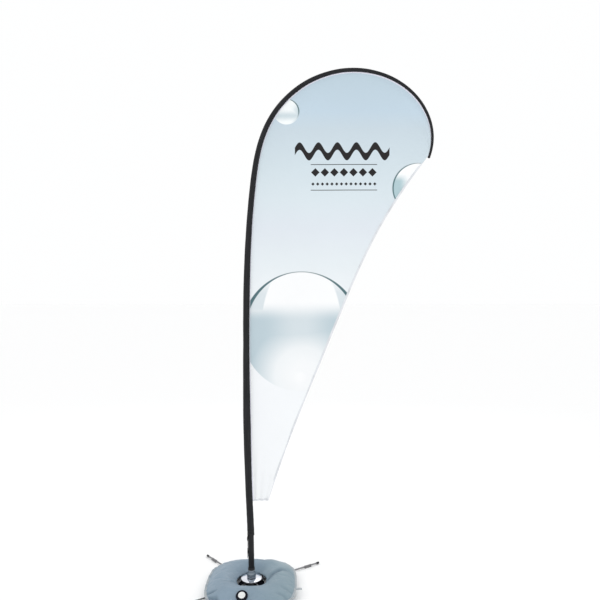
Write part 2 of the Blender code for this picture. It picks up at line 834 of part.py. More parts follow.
def filler_place():
    return Matrix.Translation(FILLER_AT) @ Matrix.Rotation(FILLER_LEAN, 4, "X")


def filler(bag, gasket_pivot, cap_pivot):
    """The black neck welded to the ring, the sealing ring in it and the white screw cap."""
    place = filler_place()
    neck = (
        (0.0, 0.0105),
        (0.0, NECK_RADIUS),
        (NECK_HEIGHT - 0.0025, NECK_RADIUS),
        (NECK_HEIGHT, NECK_RADIUS - 0.0025),
        (NECK_HEIGHT, NECK_BORE + 0.0010),
        (NECK_HEIGHT - 0.0010, NECK_BORE),
        (0.0014, NECK_BORE),
        (0.0014, 0.0105),
    )
    turned("filler_neck", neck, BLACK_RUBBER, bag, 36, place)
    gasket = tube_profile(0.0017, 0.0031, GASKET_BORE, CAP_RADIUS - 0.0003)
    turned("cap_gasket", gasket, BLACK_RUBBER, gasket_pivot, 28, place)
    cap = (
        (0.0034, 0.0),
        (0.0034, CAP_RADIUS),
        (NECK_HEIGHT + 0.0005, CAP_RADIUS),
        (NECK_HEIGHT + 0.0015, CAP_RADIUS - 0.0012),
        (NECK_HEIGHT + 0.0015, CAP_RADIUS - 0.0045),
        (NECK_HEIGHT + 0.0003, CAP_RADIUS - 0.0060),
        (NECK_HEIGHT + 0.0003, 0.0),
    )
    turned("filler_cap", cap, WHITE_PLASTIC, cap_pivot, 36, place)


def build():
    clear_scene()
    base = pivot("base_axis")
    upper_legs = pivot("leg_fold_axis", parent=base)
    rotor = pivot("swivel_axis", parent=base)
    cages = pivot("cage_roll_axis", parent=base)
    pole = pivot("pole_lift_axis", (0.0, 0.0, POLE_FOOT_Z), rotor)
    slider = pivot("strap_adjust_axis", pole_frame(SLIDER_AT)[0], pole)
    bag = pivot("bag_lift_axis", parent=base)
    gasket_pivot = pivot("cap_rise_axis", FILLER_AT, bag)
    cap_pivot = pivot("cap_turn_axis", FILLER_AT, gasket_pivot)

    centre_pad(base)
    centre_bolt(base)
    boss("lower_leg_boss", LOWER_BOSS, LOWER_RODS, base)
    boss("upper_leg_boss", UPPER_BOSS, UPPER_RODS, upper_legs)
    cover_disc(base)
    clamp_stack(base)

    collar_housing(rotor)
    spigot(rotor)
    circlip(rotor)
    for which in BEARING_HEIGHTS:
        bearing_rings(which, base, rotor)
        bearing_cage(which, cages)

    pole_foot_ring(pole)
    pole_sections(pole)
    pole_joints(pole)
    pole_tip_cap(pole)
    pole_sleeve(pole)
    sleeve_tip_pocket(pole)
    sleeve_cuff(pole)
    flag_panel(pole)
    tension_strap(pole)
    strap_hook(pole)
    hook_stud(pole)
    strap_slider(slider)

    water_bag(bag)
    bag_flange(bag)
    filler(bag, gasket_pivot, cap_pivot)


build()
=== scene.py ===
"""Looks for the teardrop flag: cloth, sleeve, strap, turned base, rods and the water ring."""

import json
import math
from contextlib import contextmanager

import bmesh
import bpy
from mathutils import Matrix, Vector, noise


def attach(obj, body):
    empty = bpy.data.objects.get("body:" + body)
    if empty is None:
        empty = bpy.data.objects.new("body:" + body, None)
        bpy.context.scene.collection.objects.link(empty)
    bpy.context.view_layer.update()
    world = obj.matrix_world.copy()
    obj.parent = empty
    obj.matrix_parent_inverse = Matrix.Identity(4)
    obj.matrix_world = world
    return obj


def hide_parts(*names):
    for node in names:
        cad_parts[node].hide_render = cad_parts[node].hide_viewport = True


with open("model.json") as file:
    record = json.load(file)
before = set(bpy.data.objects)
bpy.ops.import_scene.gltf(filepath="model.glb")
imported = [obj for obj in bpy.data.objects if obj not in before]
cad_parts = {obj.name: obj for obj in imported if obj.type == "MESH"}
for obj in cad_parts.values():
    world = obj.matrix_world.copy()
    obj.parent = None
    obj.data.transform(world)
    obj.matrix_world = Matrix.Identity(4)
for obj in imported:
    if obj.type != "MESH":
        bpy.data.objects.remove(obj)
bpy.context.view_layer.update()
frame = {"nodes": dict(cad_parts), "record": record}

# ---------------------------------------------------------------- the pole's line, as in the CAD

POLE_FOOT_Z = 0.0788
POLE_LEAN = -0.016
POLE_LENGTH = 3.489
POLE_STEP = 0.005
BEND = (
    (0.00, 0.0), (0.11, 0.0), (0.15, -0.262), (0.25, -0.262), (0.29, 0.091), (1.10, 0.027),
    (1.95, 0.25), (2.25, 1.94), (2.90, 2.19), (3.20, 2.91), (3.50, 3.94),
)
SLEEVE_START = 0.205
SLEEVE_END = 3.468
SLEEVE_RADIUS = (
    (0.20, 0.0174), (0.45, 0.0172), (0.72, 0.0190), (0.95, 0.0172), (1.14, 0.0160), (1.44, 0.0166),
    (1.67, 0.0151), (1.97, 0.0143), (2.40, 0.0124), (2.90, 0.0093), (3.25, 0.0072), (3.50, 0.0062),
)
SLEEVE_THICKNESS = 0.0006
CUFF_START = 0.1747
POLE_RADIUS = 0.0148
TUBE_BORE_RADIUS = 0.0125
TIP_BALL_RADIUS = 0.0072

PANEL_FOOT_ALONG = 0.344
PANEL_TIP_ALONG = 3.484
PANEL_FOOT_CORNER = Vector((0.0850, 0.4270))
FREE_EDGE_WAVES = (0.0710, 0.0138, 0.0081)
CLOTH_THICKNESS = 0.0005
HEM_WIDTH = 0.0095
HEM_THICKNESS = 0.0012

ROD_LEVEL_Z = 0.0080
ROD_RADIUS = 0.0038
ROD_DIP = (0.026, 0.075)
FOOT_SPAN = (0.322, 0.362)
FOOT_HALF_WIDTH = 0.0058
BOSS_MIDDLE = {"lower": 0.0153, "upper": 0.0266}
RODS = {
    "lower_front_left": (213.0, "base"),
    "lower_back_right": (33.0, "base"),
    "upper_back_left": (131.5, "upper_legs"),
    "upper_front_right": (311.5, "upper_legs"),
}

BAG_HOLE_CENTRE = Vector((0.003, -0.022))
BAG_OUTER_CENTRE = Vector((0.004, -0.039))
BAG_HOLE_HALF = (0.0720, 0.0780)
BAG_HALF = (0.2170, 0.2270)
BAG_SQUARENESS = 3.2
BAG_FLOOR_Z = 0.0138
MOST_SWELL = 0.006
FLANGE_WIDTH = 0.0075
FLANGE_Z = 0.0333
FILLER_AT = Vector((-0.0270, -0.2110, 0.0545))
FILLER_LEAN = math.radians(27.0)


def between(stations, at):
    """The value at a distance, straight between the stations around it."""
    for (a, low), (b, high) in zip(stations, stations[1:]):
        if at <= b:
            return low + (high - low) * max(at - a, 0.0) / (b - a)
    return stations[-1][1]


def eased(value, low, high):
    """0 below low and 1 above high, with a soft change between them."""
    share = min(max((value - low) / (high - low), 0.0), 1.0)
    return share * share * (3 - 2 * share)


def pole_points():
    """The pole's line from its foot, a step at a time, bending as BEND says."""
    points = []
    x, z, heading = 0.0, POLE_FOOT_Z, POLE_LEAN
    for i in range(round(POLE_LENGTH / POLE_STEP) + 2):
        points.append((Vector((x, 0.0, z)), heading))
        middle = heading + between(BEND, i * POLE_STEP) * POLE_STEP / 2
        x += math.sin(middle) * POLE_STEP
        z += math.cos(middle) * POLE_STEP
        heading += between(BEND, (i + 0.5) * POLE_STEP) * POLE_STEP
    return points


POLE = pole_points()  # (place, heading) at each step


def pole_frame(along):
    """The pole's point at a distance, with the directions towards the flag and to the back."""
    i = min(int(along / POLE_STEP), len(POLE) - 2)
    share = along / POLE_STEP - i
    centre = POLE[i][0].lerp(POLE[i + 1][0], share)
    heading = POLE[i][1] + (POLE[i + 1][1] - POLE[i][1]) * share
    return centre, Vector((math.cos(heading), 0.0, -math.sin(heading))), Vector((0.0, 1.0, 0.0))


def spread(start, end, step):
    """Even places from start to end, about a step apart."""
    count = max(1, round(abs(end - start) / step))
    return [start + (end - start) * i / count for i in range(count + 1)]


def once_round(count):
    """Even angles, once round."""
    return [math.tau * i / count for i in range(count)]


# ---------------------------------------------------------------- materials


def linear(red, green, blue):
    """A colour given as screen values from 0 to 255."""
    parts = [c / 255 for c in (red, green, blue)]
    return (*[c / 12.92 if c <= 0.04045 else ((c + 0.055) / 1.055) ** 2.4 for c in parts], 1.0)


class Recipe:
    """A material under construction, with short ways to add its nodes."""

    def __init__(self, name, colour, roughness, metallic=0.0, **sockets):
        self.material = bpy.data.materials.new(name)
        self.material.use_nodes = True
        self.tree = self.material.node_tree
        self.shader = self.tree.nodes["Principled BSDF"]
        self.put(self.shader, {"Base Color": colour, "Roughness": roughness, "Metallic": metallic})
        self.shade(**sockets)
        self.place = self.add("ShaderNodeTexCoord").outputs["Object"]

    def put(self, node, values):
        for key, value in values.items():
            if isinstance(value, bpy.types.NodeSocket):
                self.tree.links.new(value, node.inputs[key])
            else:
                node.inputs[key].default_value = value

    def add(self, kind, values=None, **settings):
        node = self.tree.nodes.new(kind)
        for key, value in settings.items():
            setattr(node, key, value)
        self.put(node, values or {})
        return node

    def math(self, operation, first, second=0.0):
        return self.add("ShaderNodeMath", {0: first, 1: second}, operation=operation).outputs[0]

    def times(self, first, *others):
        for other in others:
            first = self.math("MULTIPLY", first, other)
        return first

    def plus(self, first, second):
        return self.math("ADD", first, second)

    def minus(self, first, second):
        return self.math("SUBTRACT", first, second)

    def gap(self, first, second):
        """How far apart two values are, whichever is larger."""
        return self.math("ABSOLUTE", self.minus(first, second))

    def larger(self, first, second):
        return self.math("MAXIMUM", first, second)

    def axes(self, vector=None):
        return self.add("ShaderNodeSeparateXYZ", {0: vector or self.place}).outputs

    def stretched(self, scale, vector=None):
        return self.add("ShaderNodeMapping", {"Vector": vector or self.place, "Scale": scale}).outputs[0]

    def noise(self, scale, detail=3.0, vector=None, distortion=0.0):
        values = {"Vector": vector or self.place, "Scale": scale, "Detail": detail, "Distortion": distortion}
        return self.add("ShaderNodeTexNoise", values).outputs[0]

    def ramp(self, value, *stops):
        """stops are (position, colour or grey level)."""
        node = self.add("ShaderNodeValToRGB", {0: value})
        ramp = node.color_ramp
        while len(ramp.elements) < len(stops):
            ramp.elements.new(1.0)
        for element, (position, colour) in zip(ramp.elements, stops):
            element.position = position
            element.color = colour if isinstance(colour, tuple) else (colour, colour, colour, 1.0)
        return node.outputs[0]

    def mix(self, share, first, second, blend="MIX"):
        node = self.add("ShaderNodeMix", data_type="RGBA", blend_type=blend)
        self.put(node, {0: share, 6: first, 7: second})
        return node.outputs[2]

    def step_up(self, value, low, high):
        """0 below low and 1 above high."""
        node = self.add("ShaderNodeMapRange", {0: value, 1: low, 2: high}, interpolation_type="SMOOTHSTEP")
        return node.outputs[0]

    def step_down(self, value, low, high):
        """1 below low and 0 above high."""
        return self.minus(1.0, self.step_up(value, low, high))

    def bump(self, height, distance, strength=1.0, under=None):
        values = {"Height": height, "Distance": distance, "Strength": strength}
        if under:
            values["Normal"] = under
        return self.add("ShaderNodeBump", values).outputs[0]

    def shade(self, **sockets):
        self.put(self.shader, {key.replace("_", " "): value for key, value in sockets.items()})
        return self.material


def waves(recipe, socket, count):
    """A sine of that many waves a metre, from 0 to 1."""
    swing = recipe.math("SINE", recipe.times(socket, math.tau * count))
    return recipe.plus(recipe.times(swing, 0.5), 0.5)


def metal(name, colour, roughness, grain_scale, wear, grain=0.00002):
    """Bare or plated metal: fine grain, small changes of gloss, and faint marks."""
    recipe = Recipe(name, colour, roughness, 1.0)
    cloud = recipe.noise(30.0, 4.0)
    marks = recipe.noise(1.0, 2.0, recipe.stretched(grain_scale))
    worn = recipe.mix(0.5, cloud, marks)
    rough = recipe.ramp(worn, (0.30, roughness * (1 - wear)), (0.72, roughness * (1 + wear)))
    tint = recipe.ramp(cloud, (0.3, tuple(c * 0.9 for c in colour[:3]) + (1.0,)), (0.7, colour))
    return recipe.shade(Base_Color=tint, Roughness=rough, Normal=recipe.bump(marks, grain, 0.6))


def moulded(name, colour, roughness, grain=0.00006, scale=900.0, gloss=0.5):
    """Moulded plastic or rubber: a spark-textured skin with slightly paler, drier patches."""
    recipe = Recipe(name, colour, roughness, Specular_IOR_Level=gloss)
    skin = recipe.noise(scale, 2.0)
    patches = recipe.noise(22.0, 4.0)
    lighter = tuple(min(1.0, c * 1.35 + 0.006) for c in colour[:3]) + (1.0,)
    tint = recipe.mix(recipe.step_up(patches, 0.45, 0.8), colour, lighter)
    rough = recipe.ramp(patches, (0.3, roughness * 0.88), (0.7, min(1.0, roughness * 1.12)))
    return recipe.shade(Base_Color=tint, Roughness=rough, Normal=recipe.bump(skin, grain, 0.5))


def black_cloth(name, colour, rib_scale, rib_height, sheen):
    """Woven or knitted black: ribs along and across in the piece's own UV map, in metres."""
    recipe = Recipe(name, colour, 0.82, Sheen_Weight=sheen, Sheen_Roughness=0.45, Specular_IOR_Level=0.28)
    uv = recipe.add("ShaderNodeUVMap", uv_map="cloth").outputs[0]
    along, across = recipe.axes(uv)[1], recipe.axes(uv)[0]
    knit = recipe.times(waves(recipe, along, rib_scale), waves(recipe, across, rib_scale * 0.8))
    streaks = recipe.noise(1.0, 3.0, recipe.stretched((260.0, 7.0, 1.0), uv))
    worn = tuple(min(1.0, c * 2.1 + 0.004) for c in colour[:3]) + (1.0,)
    tint = recipe.mix(recipe.step_up(streaks, 0.42, 0.78), colour, worn)
    tint = recipe.mix(recipe.times(knit, 0.35), tint, worn)
    folds = recipe.bump(streaks, 0.0006, 0.5)
    return recipe.shade(Base_Color=tint, Normal=recipe.bump(knit, rib_height, 0.7, folds))


def distance_from(recipe, centre, half_width=1.0, half_height=1.0):
    """How far a point of the flag's plane is from a centre, as a share of the two half sizes."""
    x, _, z = recipe.axes()
    squared = []
    for socket, middle, half in ((x, centre[0], half_width), (z, centre[1], half_height)):
        off = recipe.math("DIVIDE", recipe.minus(socket, middle), half)
        squared.append(recipe.times(off, off))
    return recipe.math("SQRT", recipe.plus(*squared))


def circle(recipe, centre, radius, stretch=(1.0, 1.0), soft=0.0022):
    """1 inside a circle or ellipse of the flag's plane, 0 outside."""
    distance = distance_from(recipe, centre, radius * stretch[0], radius * stretch[1])
    edge = soft / radius
    return recipe.step_down(distance, 1.0 - edge, 1.0 + edge)


def band(recipe, socket, low, high, soft=0.0012):
    """1 between two heights or widths, 0 outside."""
    above = recipe.step_up(socket, low - soft, low + soft)
    return recipe.times(above, recipe.step_down(socket, high - soft, high + soft))


TEAL = linear(84, 114, 120)
BUBBLE_WHITE = linear(248, 249, 250)
BUBBLE_SHADE = linear(163, 188, 199)
INK = linear(38, 36, 37)
SKY = (
    (0.42, linear(245, 247, 249)), (1.40, linear(240, 243, 246)), (1.62, linear(229, 236, 240)),
    (1.80, linear(222, 229, 236)), (1.95, linear(217, 228, 234)), (2.12, linear(209, 222, 229)),
    (2.30, linear(200, 214, 223)), (2.39, linear(194, 212, 225)), (2.61, linear(188, 206, 217)),
)
SKY_TOP = 2.7


def print_background(recipe):
    """Pale at the foot, light blue at the top."""
    height = recipe.math("DIVIDE", recipe.axes()[2], SKY_TOP)
    return recipe.ramp(height, *[(z / SKY_TOP, colour) for z, colour in SKY])


def crescent(recipe, outside, centre, radius, shift, stretch):
    """The part of a circle that a shifted or squeezed copy of it leaves bare."""
    inside = circle(recipe, (centre[0] + shift[0], centre[1] + shift[1]), radius, stretch)
    return recipe.times(outside, recipe.minus(1.0, inside))


def small_bubble(recipe, under):
    """White, with a soft belt, a shaded side and a thin dark rim above."""
    centre, radius = (0.177, 2.390), 0.0650
    x, _, z = recipe.axes()
    outside = circle(recipe, centre, radius)
    belt = recipe.times(outside, band(recipe, z, 2.352, 2.386, 0.018), 0.55)
    side = recipe.times(outside, recipe.step_up(x, 0.190, 0.245), recipe.step_down(z, 2.40, 2.44), 0.6)
    rim = crescent(recipe, outside, centre, radius, (-0.0050, -0.0012), (0.985, 0.99))
    rim = recipe.times(rim, recipe.step_up(z, 2.345, 2.395))
    colour = recipe.mix(outside, under, linear(246, 250, 251))
    colour = recipe.mix(recipe.larger(belt, side), colour, BUBBLE_SHADE)
    return recipe.mix(rim, colour, TEAL)


def edge_bubble(recipe, under):
    """Cut by the free edge: white, shaded low on the near side, with a thin dark rim."""
    centre, radius = (0.838, 2.003), 0.1270
    x, _, z = recipe.axes()
    outside = circle(recipe, centre, radius)
    side, low = recipe.step_down(x, 0.745, 0.805), recipe.step_down(z, 2.035, 2.080)
    shade = recipe.times(outside, side, low, 0.85)
    rim = crescent(recipe, outside, centre, radius, (0.0058, -0.0015), (0.992, 0.995))
    colour = recipe.mix(outside, under, linear(250, 252, 253))
    colour = recipe.mix(shade, colour, linear(160, 192, 200))
    return recipe.mix(rim, colour, TEAL)


def big_bubble(recipe, under):
    """Bright window above, a grey-blue belt, and a glow with a spark low down."""
    centre, radius = (0.2525, 1.281), 0.3020
    x, _, z = recipe.axes()
    outside = circle(recipe, centre, radius)
    window = circle(recipe, (0.2525, 1.350), 0.281, (0.694, 1.0), 0.006)
    from_glow = distance_from(recipe, (0.260, 1.060))
    below = recipe.ramp(from_glow, (0.05, 0.05), (0.14, 0.16), (0.20, 0.46), (0.27, 0.78))
    off_middle = recipe.gap(x, 0.245)
    belt = recipe.plus(0.50, recipe.times(recipe.step_up(off_middle, 0.02, 0.19), 0.26))
    belt = recipe.times(recipe.math("MINIMUM", below, belt), recipe.step_down(z, 1.330, 1.435))
    sides = recipe.times(recipe.step_down(z, 1.46, 1.56), recipe.minus(1.0, window), 0.42)
    sides = recipe.times(sides, recipe.step_up(z, 1.34, 1.40))
    dark = recipe.larger(belt, sides)
    spark = circle(recipe, (0.247, 1.050), 0.024, (1.0, 1.0), 0.014)
    colour = recipe.mix(outside, under, BUBBLE_WHITE)
    colour = recipe.mix(recipe.times(outside, dark), colour, BUBBLE_SHADE)
    colour = recipe.mix(spark, colour, BUBBLE_WHITE)
    rim = crescent(recipe, outside, centre, radius, (0.0, -0.0012), (0.930, 0.994))
    return recipe.mix(recipe.times(rim, recipe.step_up(z, 1.31, 1.40)), colour, TEAL)


def print_emblem(recipe, under):
    """A bold wave over two thin rules, with a row of diamonds and a row of dots between them."""
    x, _, z = recipe.axes()
    turn = recipe.times(recipe.minus(x, 0.219), math.tau / 0.0954)
    swell = recipe.times(recipe.math("SINE", turn), 0.0265)
    wave = recipe.minus(z, swell)
    mark = recipe.times(band(recipe, wave, 2.1700, 2.2080), band(recipe, x, 0.219, 0.696))
    rules = recipe.larger(band(recipe, z, 2.1210, 2.1245), band(recipe, z, 1.9925, 1.9960))
    mark = recipe.larger(mark, recipe.times(rules, band(recipe, x, 0.299, 0.634)))
    for height, pitch, reach in ((2.0835, 0.0480, 0.0215), (2.0250, 0.0240, 0.0085)):
        start = recipe.math("DIVIDE", recipe.minus(x, 0.2985), pitch)
        along = recipe.times(recipe.gap(recipe.math("FRACT", start), 0.5), pitch)
        up = recipe.gap(z, height)
        shape = recipe.step_down(recipe.plus(along, up), reach - 0.0012, reach + 0.0012)
        mark = recipe.larger(mark, recipe.times(shape, band(recipe, x, 0.2985, 0.6345)))
    return recipe.mix(mark, under, INK)


def printed_cloth():
    """Printed polyester knit: sky, bubbles and emblem, with an unprinted margin at the sleeve."""
    recipe = Recipe("printed_polyester_knit", (0.8, 0.87, 0.91, 1.0), 0.74)
    recipe.shade(Sheen_Weight=0.04, Sheen_Roughness=0.5, Specular_IOR_Level=0.2)
    uv = recipe.add("ShaderNodeUVMap", uv_map="cloth").outputs[0]
    across, along = recipe.axes(uv)[0], recipe.axes(uv)[1]
    colour = print_background(recipe)
    for motif in (small_bubble, edge_bubble, big_bubble, print_emblem):
        colour = motif(recipe, colour)
    margin = recipe.plus(0.0065, recipe.times(recipe.step_up(along, 2.6, 3.3), 0.003))
    bare = recipe.math("LESS_THAN", across, margin)
    colour = recipe.mix(bare, colour, linear(233, 233, 246))
    cloud = recipe.noise(3.0, 4.0)
    colour = recipe.mix(0.05, colour, recipe.ramp(cloud, (0.3, 0.55), (0.7, 1.0)), "MULTIPLY")
    knit = recipe.times(waves(recipe, across, 420.0), waves(recipe, along, 520.0))
    folds = recipe.noise(1.0, 3.0, recipe.stretched((3.0, 1.0, 11.0)), 0.4)
    soft = recipe.bump(folds, 0.003, 0.2)
    return recipe.shade(Base_Color=colour, Normal=recipe.bump(knit, 0.00025, 0.5, soft))


def plain_cloth(name, colour):
    """Unprinted polyester: fine cross weave and slightly soiled patches."""
    recipe = Recipe(name, colour, 0.8, Sheen_Weight=0.1)
    x, _, z = recipe.axes()
    weave = recipe.times(waves(recipe, x, 700.0), waves(recipe, z, 700.0))
    dark = tuple(c * 0.82 for c in colour[:3]) + (1.0,)
    tint = recipe.mix(recipe.step_up(recipe.noise(14.0), 0.4, 0.75), colour, dark)
    return recipe.shade(Base_Color=tint, Normal=recipe.bump(weave, 0.0002, 0.5))


def coated_fabric():
    """PVC-coated fabric: the threads show faintly through a satin skin that creases and dulls, with painted
    shade darkening the colour along the creases.
    """
    colour, cooler = linear(131, 151, 167), linear(133, 154, 163)
    recipe = Recipe("pvc_coated_fabric", colour, 0.42, Specular_IOR_Level=0.45)
    x, y, _ = recipe.axes()
    tint = recipe.mix(recipe.step_up(x, -0.05, 0.24), colour, cooler)
    patches = recipe.noise(9.0, 5.0)
    dulled = recipe.times(recipe.step_up(patches, 0.35, 0.8), 0.3)
    tint = recipe.mix(dulled, tint, linear(106, 127, 144))
    scrim = recipe.larger(waves(recipe, x, 560.0), waves(recipe, y, 560.0))
    creases = recipe.noise(16.0, 3.0, None, 1.2)
    ridge = recipe.gap(creases, 0.5)
    folds = recipe.bump(recipe.ramp(ridge, (0.0, 0.0), (0.09, 1.0)), 0.0016, 0.55)
    rough = recipe.ramp(patches, (0.3, 0.36), (0.75, 0.58))
    # Painted shade: the colour darkens along the creases, where shade falls.
    crease_shade = recipe.add("ShaderNodeAttribute", attribute_name="crease_shade").outputs["Fac"]
    tint = recipe.mix(recipe.times(crease_shade, 0.9), tint, linear(84, 106, 122))
    return recipe.shade(Base_Color=tint, Roughness=rough, Normal=recipe.bump(scrim, 0.00012, 0.4, folds))


def welded_edge():
    """The pressed weld: a diamond pattern from the welding tool."""
    recipe = Recipe("pressed_weld", linear(160, 168, 174), 0.5)
    x, y, _ = recipe.axes()
    press = recipe.times(waves(recipe, recipe.plus(x, y), 240.0), waves(recipe, recipe.minus(x, y), 240.0))
    soiled = recipe.step_up(recipe.noise(18.0), 0.4, 0.8)
    tint = recipe.mix(soiled, linear(166, 173, 177), linear(128, 144, 156))
    return recipe.shade(Base_Color=tint, Normal=recipe.bump(press, 0.0003, 0.6))


def glass_fibre():
    """Wound black tube: fine fibres run along it under a satin resin."""
    recipe = Recipe("black_glass_fibre_tube", (0.012, 0.012, 0.013, 1.0), 0.52, Specular_IOR_Level=0.3)
    fibres = recipe.noise(1.0, 3.0, recipe.stretched((1500.0, 1500.0, 24.0)))
    raised = recipe.step_up(fibres, 0.4, 0.8)
    tint = recipe.mix(raised, (0.008, 0.008, 0.009, 1.0), (0.026, 0.026, 0.028, 1.0))
    return recipe.shade(Base_Color=tint, Normal=recipe.bump(fibres, 0.00005, 0.5))


MATERIALS = {
    "printed_polyester": printed_cloth(),
    "black_webbing": black_cloth("black_sleeve_knit", (0.0100, 0.0104, 0.0120, 1.0), 480.0, 0.0002, 0.05),
    "black_glass_fibre": glass_fibre(),
    "black_plastic": moulded("black_moulded_plastic", (0.016, 0.016, 0.018, 1.0), 0.52),
    "black_rubber": moulded("black_rubber_moulding", (0.005, 0.006, 0.012, 1.0), 0.85, 0.00010, 600.0, 0.12),
    "chrome_plate": metal("polished_chrome", (0.80, 0.82, 0.88, 1.0), 0.09, (40, 40, 40), 0.5, 0.000004),
    "bright_aluminium": metal("turned_aluminium", (0.30, 0.34, 0.38, 1.0), 0.30, (60, 60, 2600), 0.35),
    "zinc_steel": metal("zinc_plated_steel", (0.56, 0.57, 0.58, 1.0), 0.36, (220, 220, 220), 0.3),
    "bearing_steel": metal("ground_bearing_steel", (0.72, 0.72, 0.73, 1.0), 0.16, (90, 90, 2000), 0.3),
    "rod_steel": metal("drawn_steel_rod", (0.27, 0.27, 0.28, 1.0), 0.45, (500, 500, 500), 0.3),
    "coated_fabric": coated_fabric(),
    "welded_edge": welded_edge(),
    "white_plastic": moulded("white_cap_plastic", linear(233, 235, 234), 0.34, 0.00004, 700.0),
}
MARGIN_CLOTH = plain_cloth("hem_polyester", linear(226, 229, 233))
BINDING = black_cloth("black_cuff_webbing", (0.009, 0.009, 0.010, 1.0), 300.0, 0.0004, 0.06)
GREY_RUBBER = moulded("grey_foot_rubber", (0.17, 0.17, 0.175, 1.0), 0.70, 0.00010, 600.0)
DARK_THREAD = moulded("black_thread", (0.05, 0.05, 0.055, 1.0), 0.6, 0.0001, 2500.0)
PALE_THREAD = moulded("grey_thread", linear(196, 200, 205), 0.6, 0.0001, 2500.0)


def dress_cad_nodes():
    """Every CAD node that stays in view gets its finish."""
    for part in frame["record"]["subparts"]:
        finish = MATERIALS[part["material_slot"]]
        for slot in frame["nodes"][part["node"]].material_slots:
            slot.material = finish


# ---------------------------------------------------------------- making pieces


def deselect():
    if bpy.context.mode != "OBJECT":
        bpy.ops.object.mode_set(mode="OBJECT")
    bpy.ops.object.select_all(action="DESELECT")


def take_up(piece):
    deselect()
    piece.select_set(True)
    bpy.context.view_layer.objects.active = piece


@contextmanager
def editing():
    """Edit mode, with the whole mesh selected."""
    bpy.ops.object.mode_set(mode="EDIT")
    bpy.ops.mesh.select_all(action="SELECT")
    yield
    bpy.ops.object.mode_set(mode="OBJECT")


def added(name, data):
    """A new object in the scene."""
    made = bpy.data.objects.new(name, data)
    bpy.context.scene.collection.objects.link(made)
    return made


def apply_modifiers(piece):
    take_up(piece)
    for modifier in list(piece.modifiers):
        bpy.ops.object.modifier_apply(modifier=modifier.name)


def settle(piece, name, body, slot, stands_for=(), smooth=40.0, finish=None):
    """Puts the piece's place in its mesh, and gives it its name, body and finish.

    The finish is the slot's own where none is given.
    """
    take_up(piece)
    piece.name = name
    piece.data.name = name
    bpy.ops.object.transform_apply(location=True, rotation=True, scale=True)
    bpy.ops.object.shade_smooth_by_angle(angle=math.radians(smooth))
    piece.data.materials.clear()
    piece.data.materials.append(finish or MATERIALS[slot])
    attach(piece, body)
    if stands_for:
        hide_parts(*stands_for)
    return piece


def sewn(name, bm, body, slot, stands_for=(), smooth=60.0, thickness=0.0, finish=None):
    """A soft piece from its own mesh."""
    mesh = bpy.data.meshes.new(name)
    bmesh.ops.recalc_face_normals(bm, faces=bm.faces)
    bm.to_mesh(mesh)
    bm.free()
    piece = added(name, mesh)
    if thickness:
        solid = piece.modifiers.new("wall", "SOLIDIFY")
        solid.thickness = thickness
        solid.offset = -1.0
        apply_modifiers(piece)
    return settle(piece, name, body, slot, stands_for, smooth, finish)


def spun(profile, steps=64):
    """A round piece: its outline is drawn point by point, then spun about the upright axis.

    profile is a loop of (height, radius).
    """
    deselect()
    bpy.ops.mesh.primitive_plane_add(size=0.001)
    piece = bpy.context.object
    with editing():
        bpy.ops.mesh.merge(type="CENTER")
        bpy.ops.transform.translate(value=(profile[0][1], 0.0, profile[0][0]))
        for (low, near), (high, far) in zip(profile, profile[1:] + profile[:1]):
            move = {"value": (far - near, 0.0, high - low)}
            bpy.ops.mesh.extrude_region_move(TRANSFORM_OT_translate=move)
        bpy.ops.mesh.select_all(action="SELECT")
        bpy.ops.mesh.spin(steps=steps, angle=math.tau, center=(0.0, 0.0, 0.0), axis=(0.0, 0.0, 1.0))
        bpy.ops.mesh.select_all(action="SELECT")
        bpy.ops.mesh.remove_doubles(threshold=0.00001)
        bpy.ops.mesh.dissolve_degenerate(threshold=0.000001)
        bpy.ops.mesh.select_all(action="SELECT")
        bpy.ops.mesh.normals_make_consistent(inside=False)
    return piece


def rounded(profile, radius=0.0006, steps=3):
    """The same loop with each corner cut to a short arc."""
    made = []
    count = len(profile)
    for i, corner in enumerate(profile):
        here = Vector(corner)
        back, onward = Vector(profile[i - 1]) - here, Vector(profile[(i + 1) % count]) - here
        if corner[1] == 0.0 or back.length < 1e-6 or onward.length < 1e-6:
            made.append(tuple(here))
            continue
        reach = min(radius, back.length * 0.45, onward.length * 0.45)
        start, end = here + back.normalized() * reach, here + onward.normalized() * reach
        for j in range(steps + 1):
            share = j / steps
            made.append(tuple(start * (1 - share) ** 2 + here * 2 * share * (1 - share) + end * share**2))
    return made


def block(size, place, soften=0.001, segments=3):
    """A box with softened edges, shaped in edit mode."""
    deselect()
    bpy.ops.mesh.primitive_cube_add(size=1.0, location=place)
    piece = bpy.context.object
    piece.scale = size
    bpy.ops.object.transform_apply(location=False, rotation=False, scale=True)
    with editing():
        bpy.ops.mesh.bevel(offset=soften, segments=segments, affect="EDGES")
    return piece


def drill(piece, radius, place, segments, rotation=(0.0, 0.0, 0.0)):
    """A round hole right through a thin piece."""
    deselect()
    bpy.ops.mesh.primitive_cylinder_add(
        vertices=segments, radius=radius, depth=0.02, location=place, rotation=rotation
    )
    cut_out(piece, bpy.context.object)


def cut_out(piece, cutter):
    """Takes the cutter's shape out of the piece."""
    boolean = piece.modifiers.new("cut", "BOOLEAN")
    boolean.operation = "DIFFERENCE"
    boolean.solver = "EXACT"
    boolean.object = cutter
    apply_modifiers(piece)
    bpy.data.objects.remove(cutter)


def join(first, *others):
    take_up(first)
    for other in others:
        other.select_set(True)
    bpy.ops.object.join()
    return first


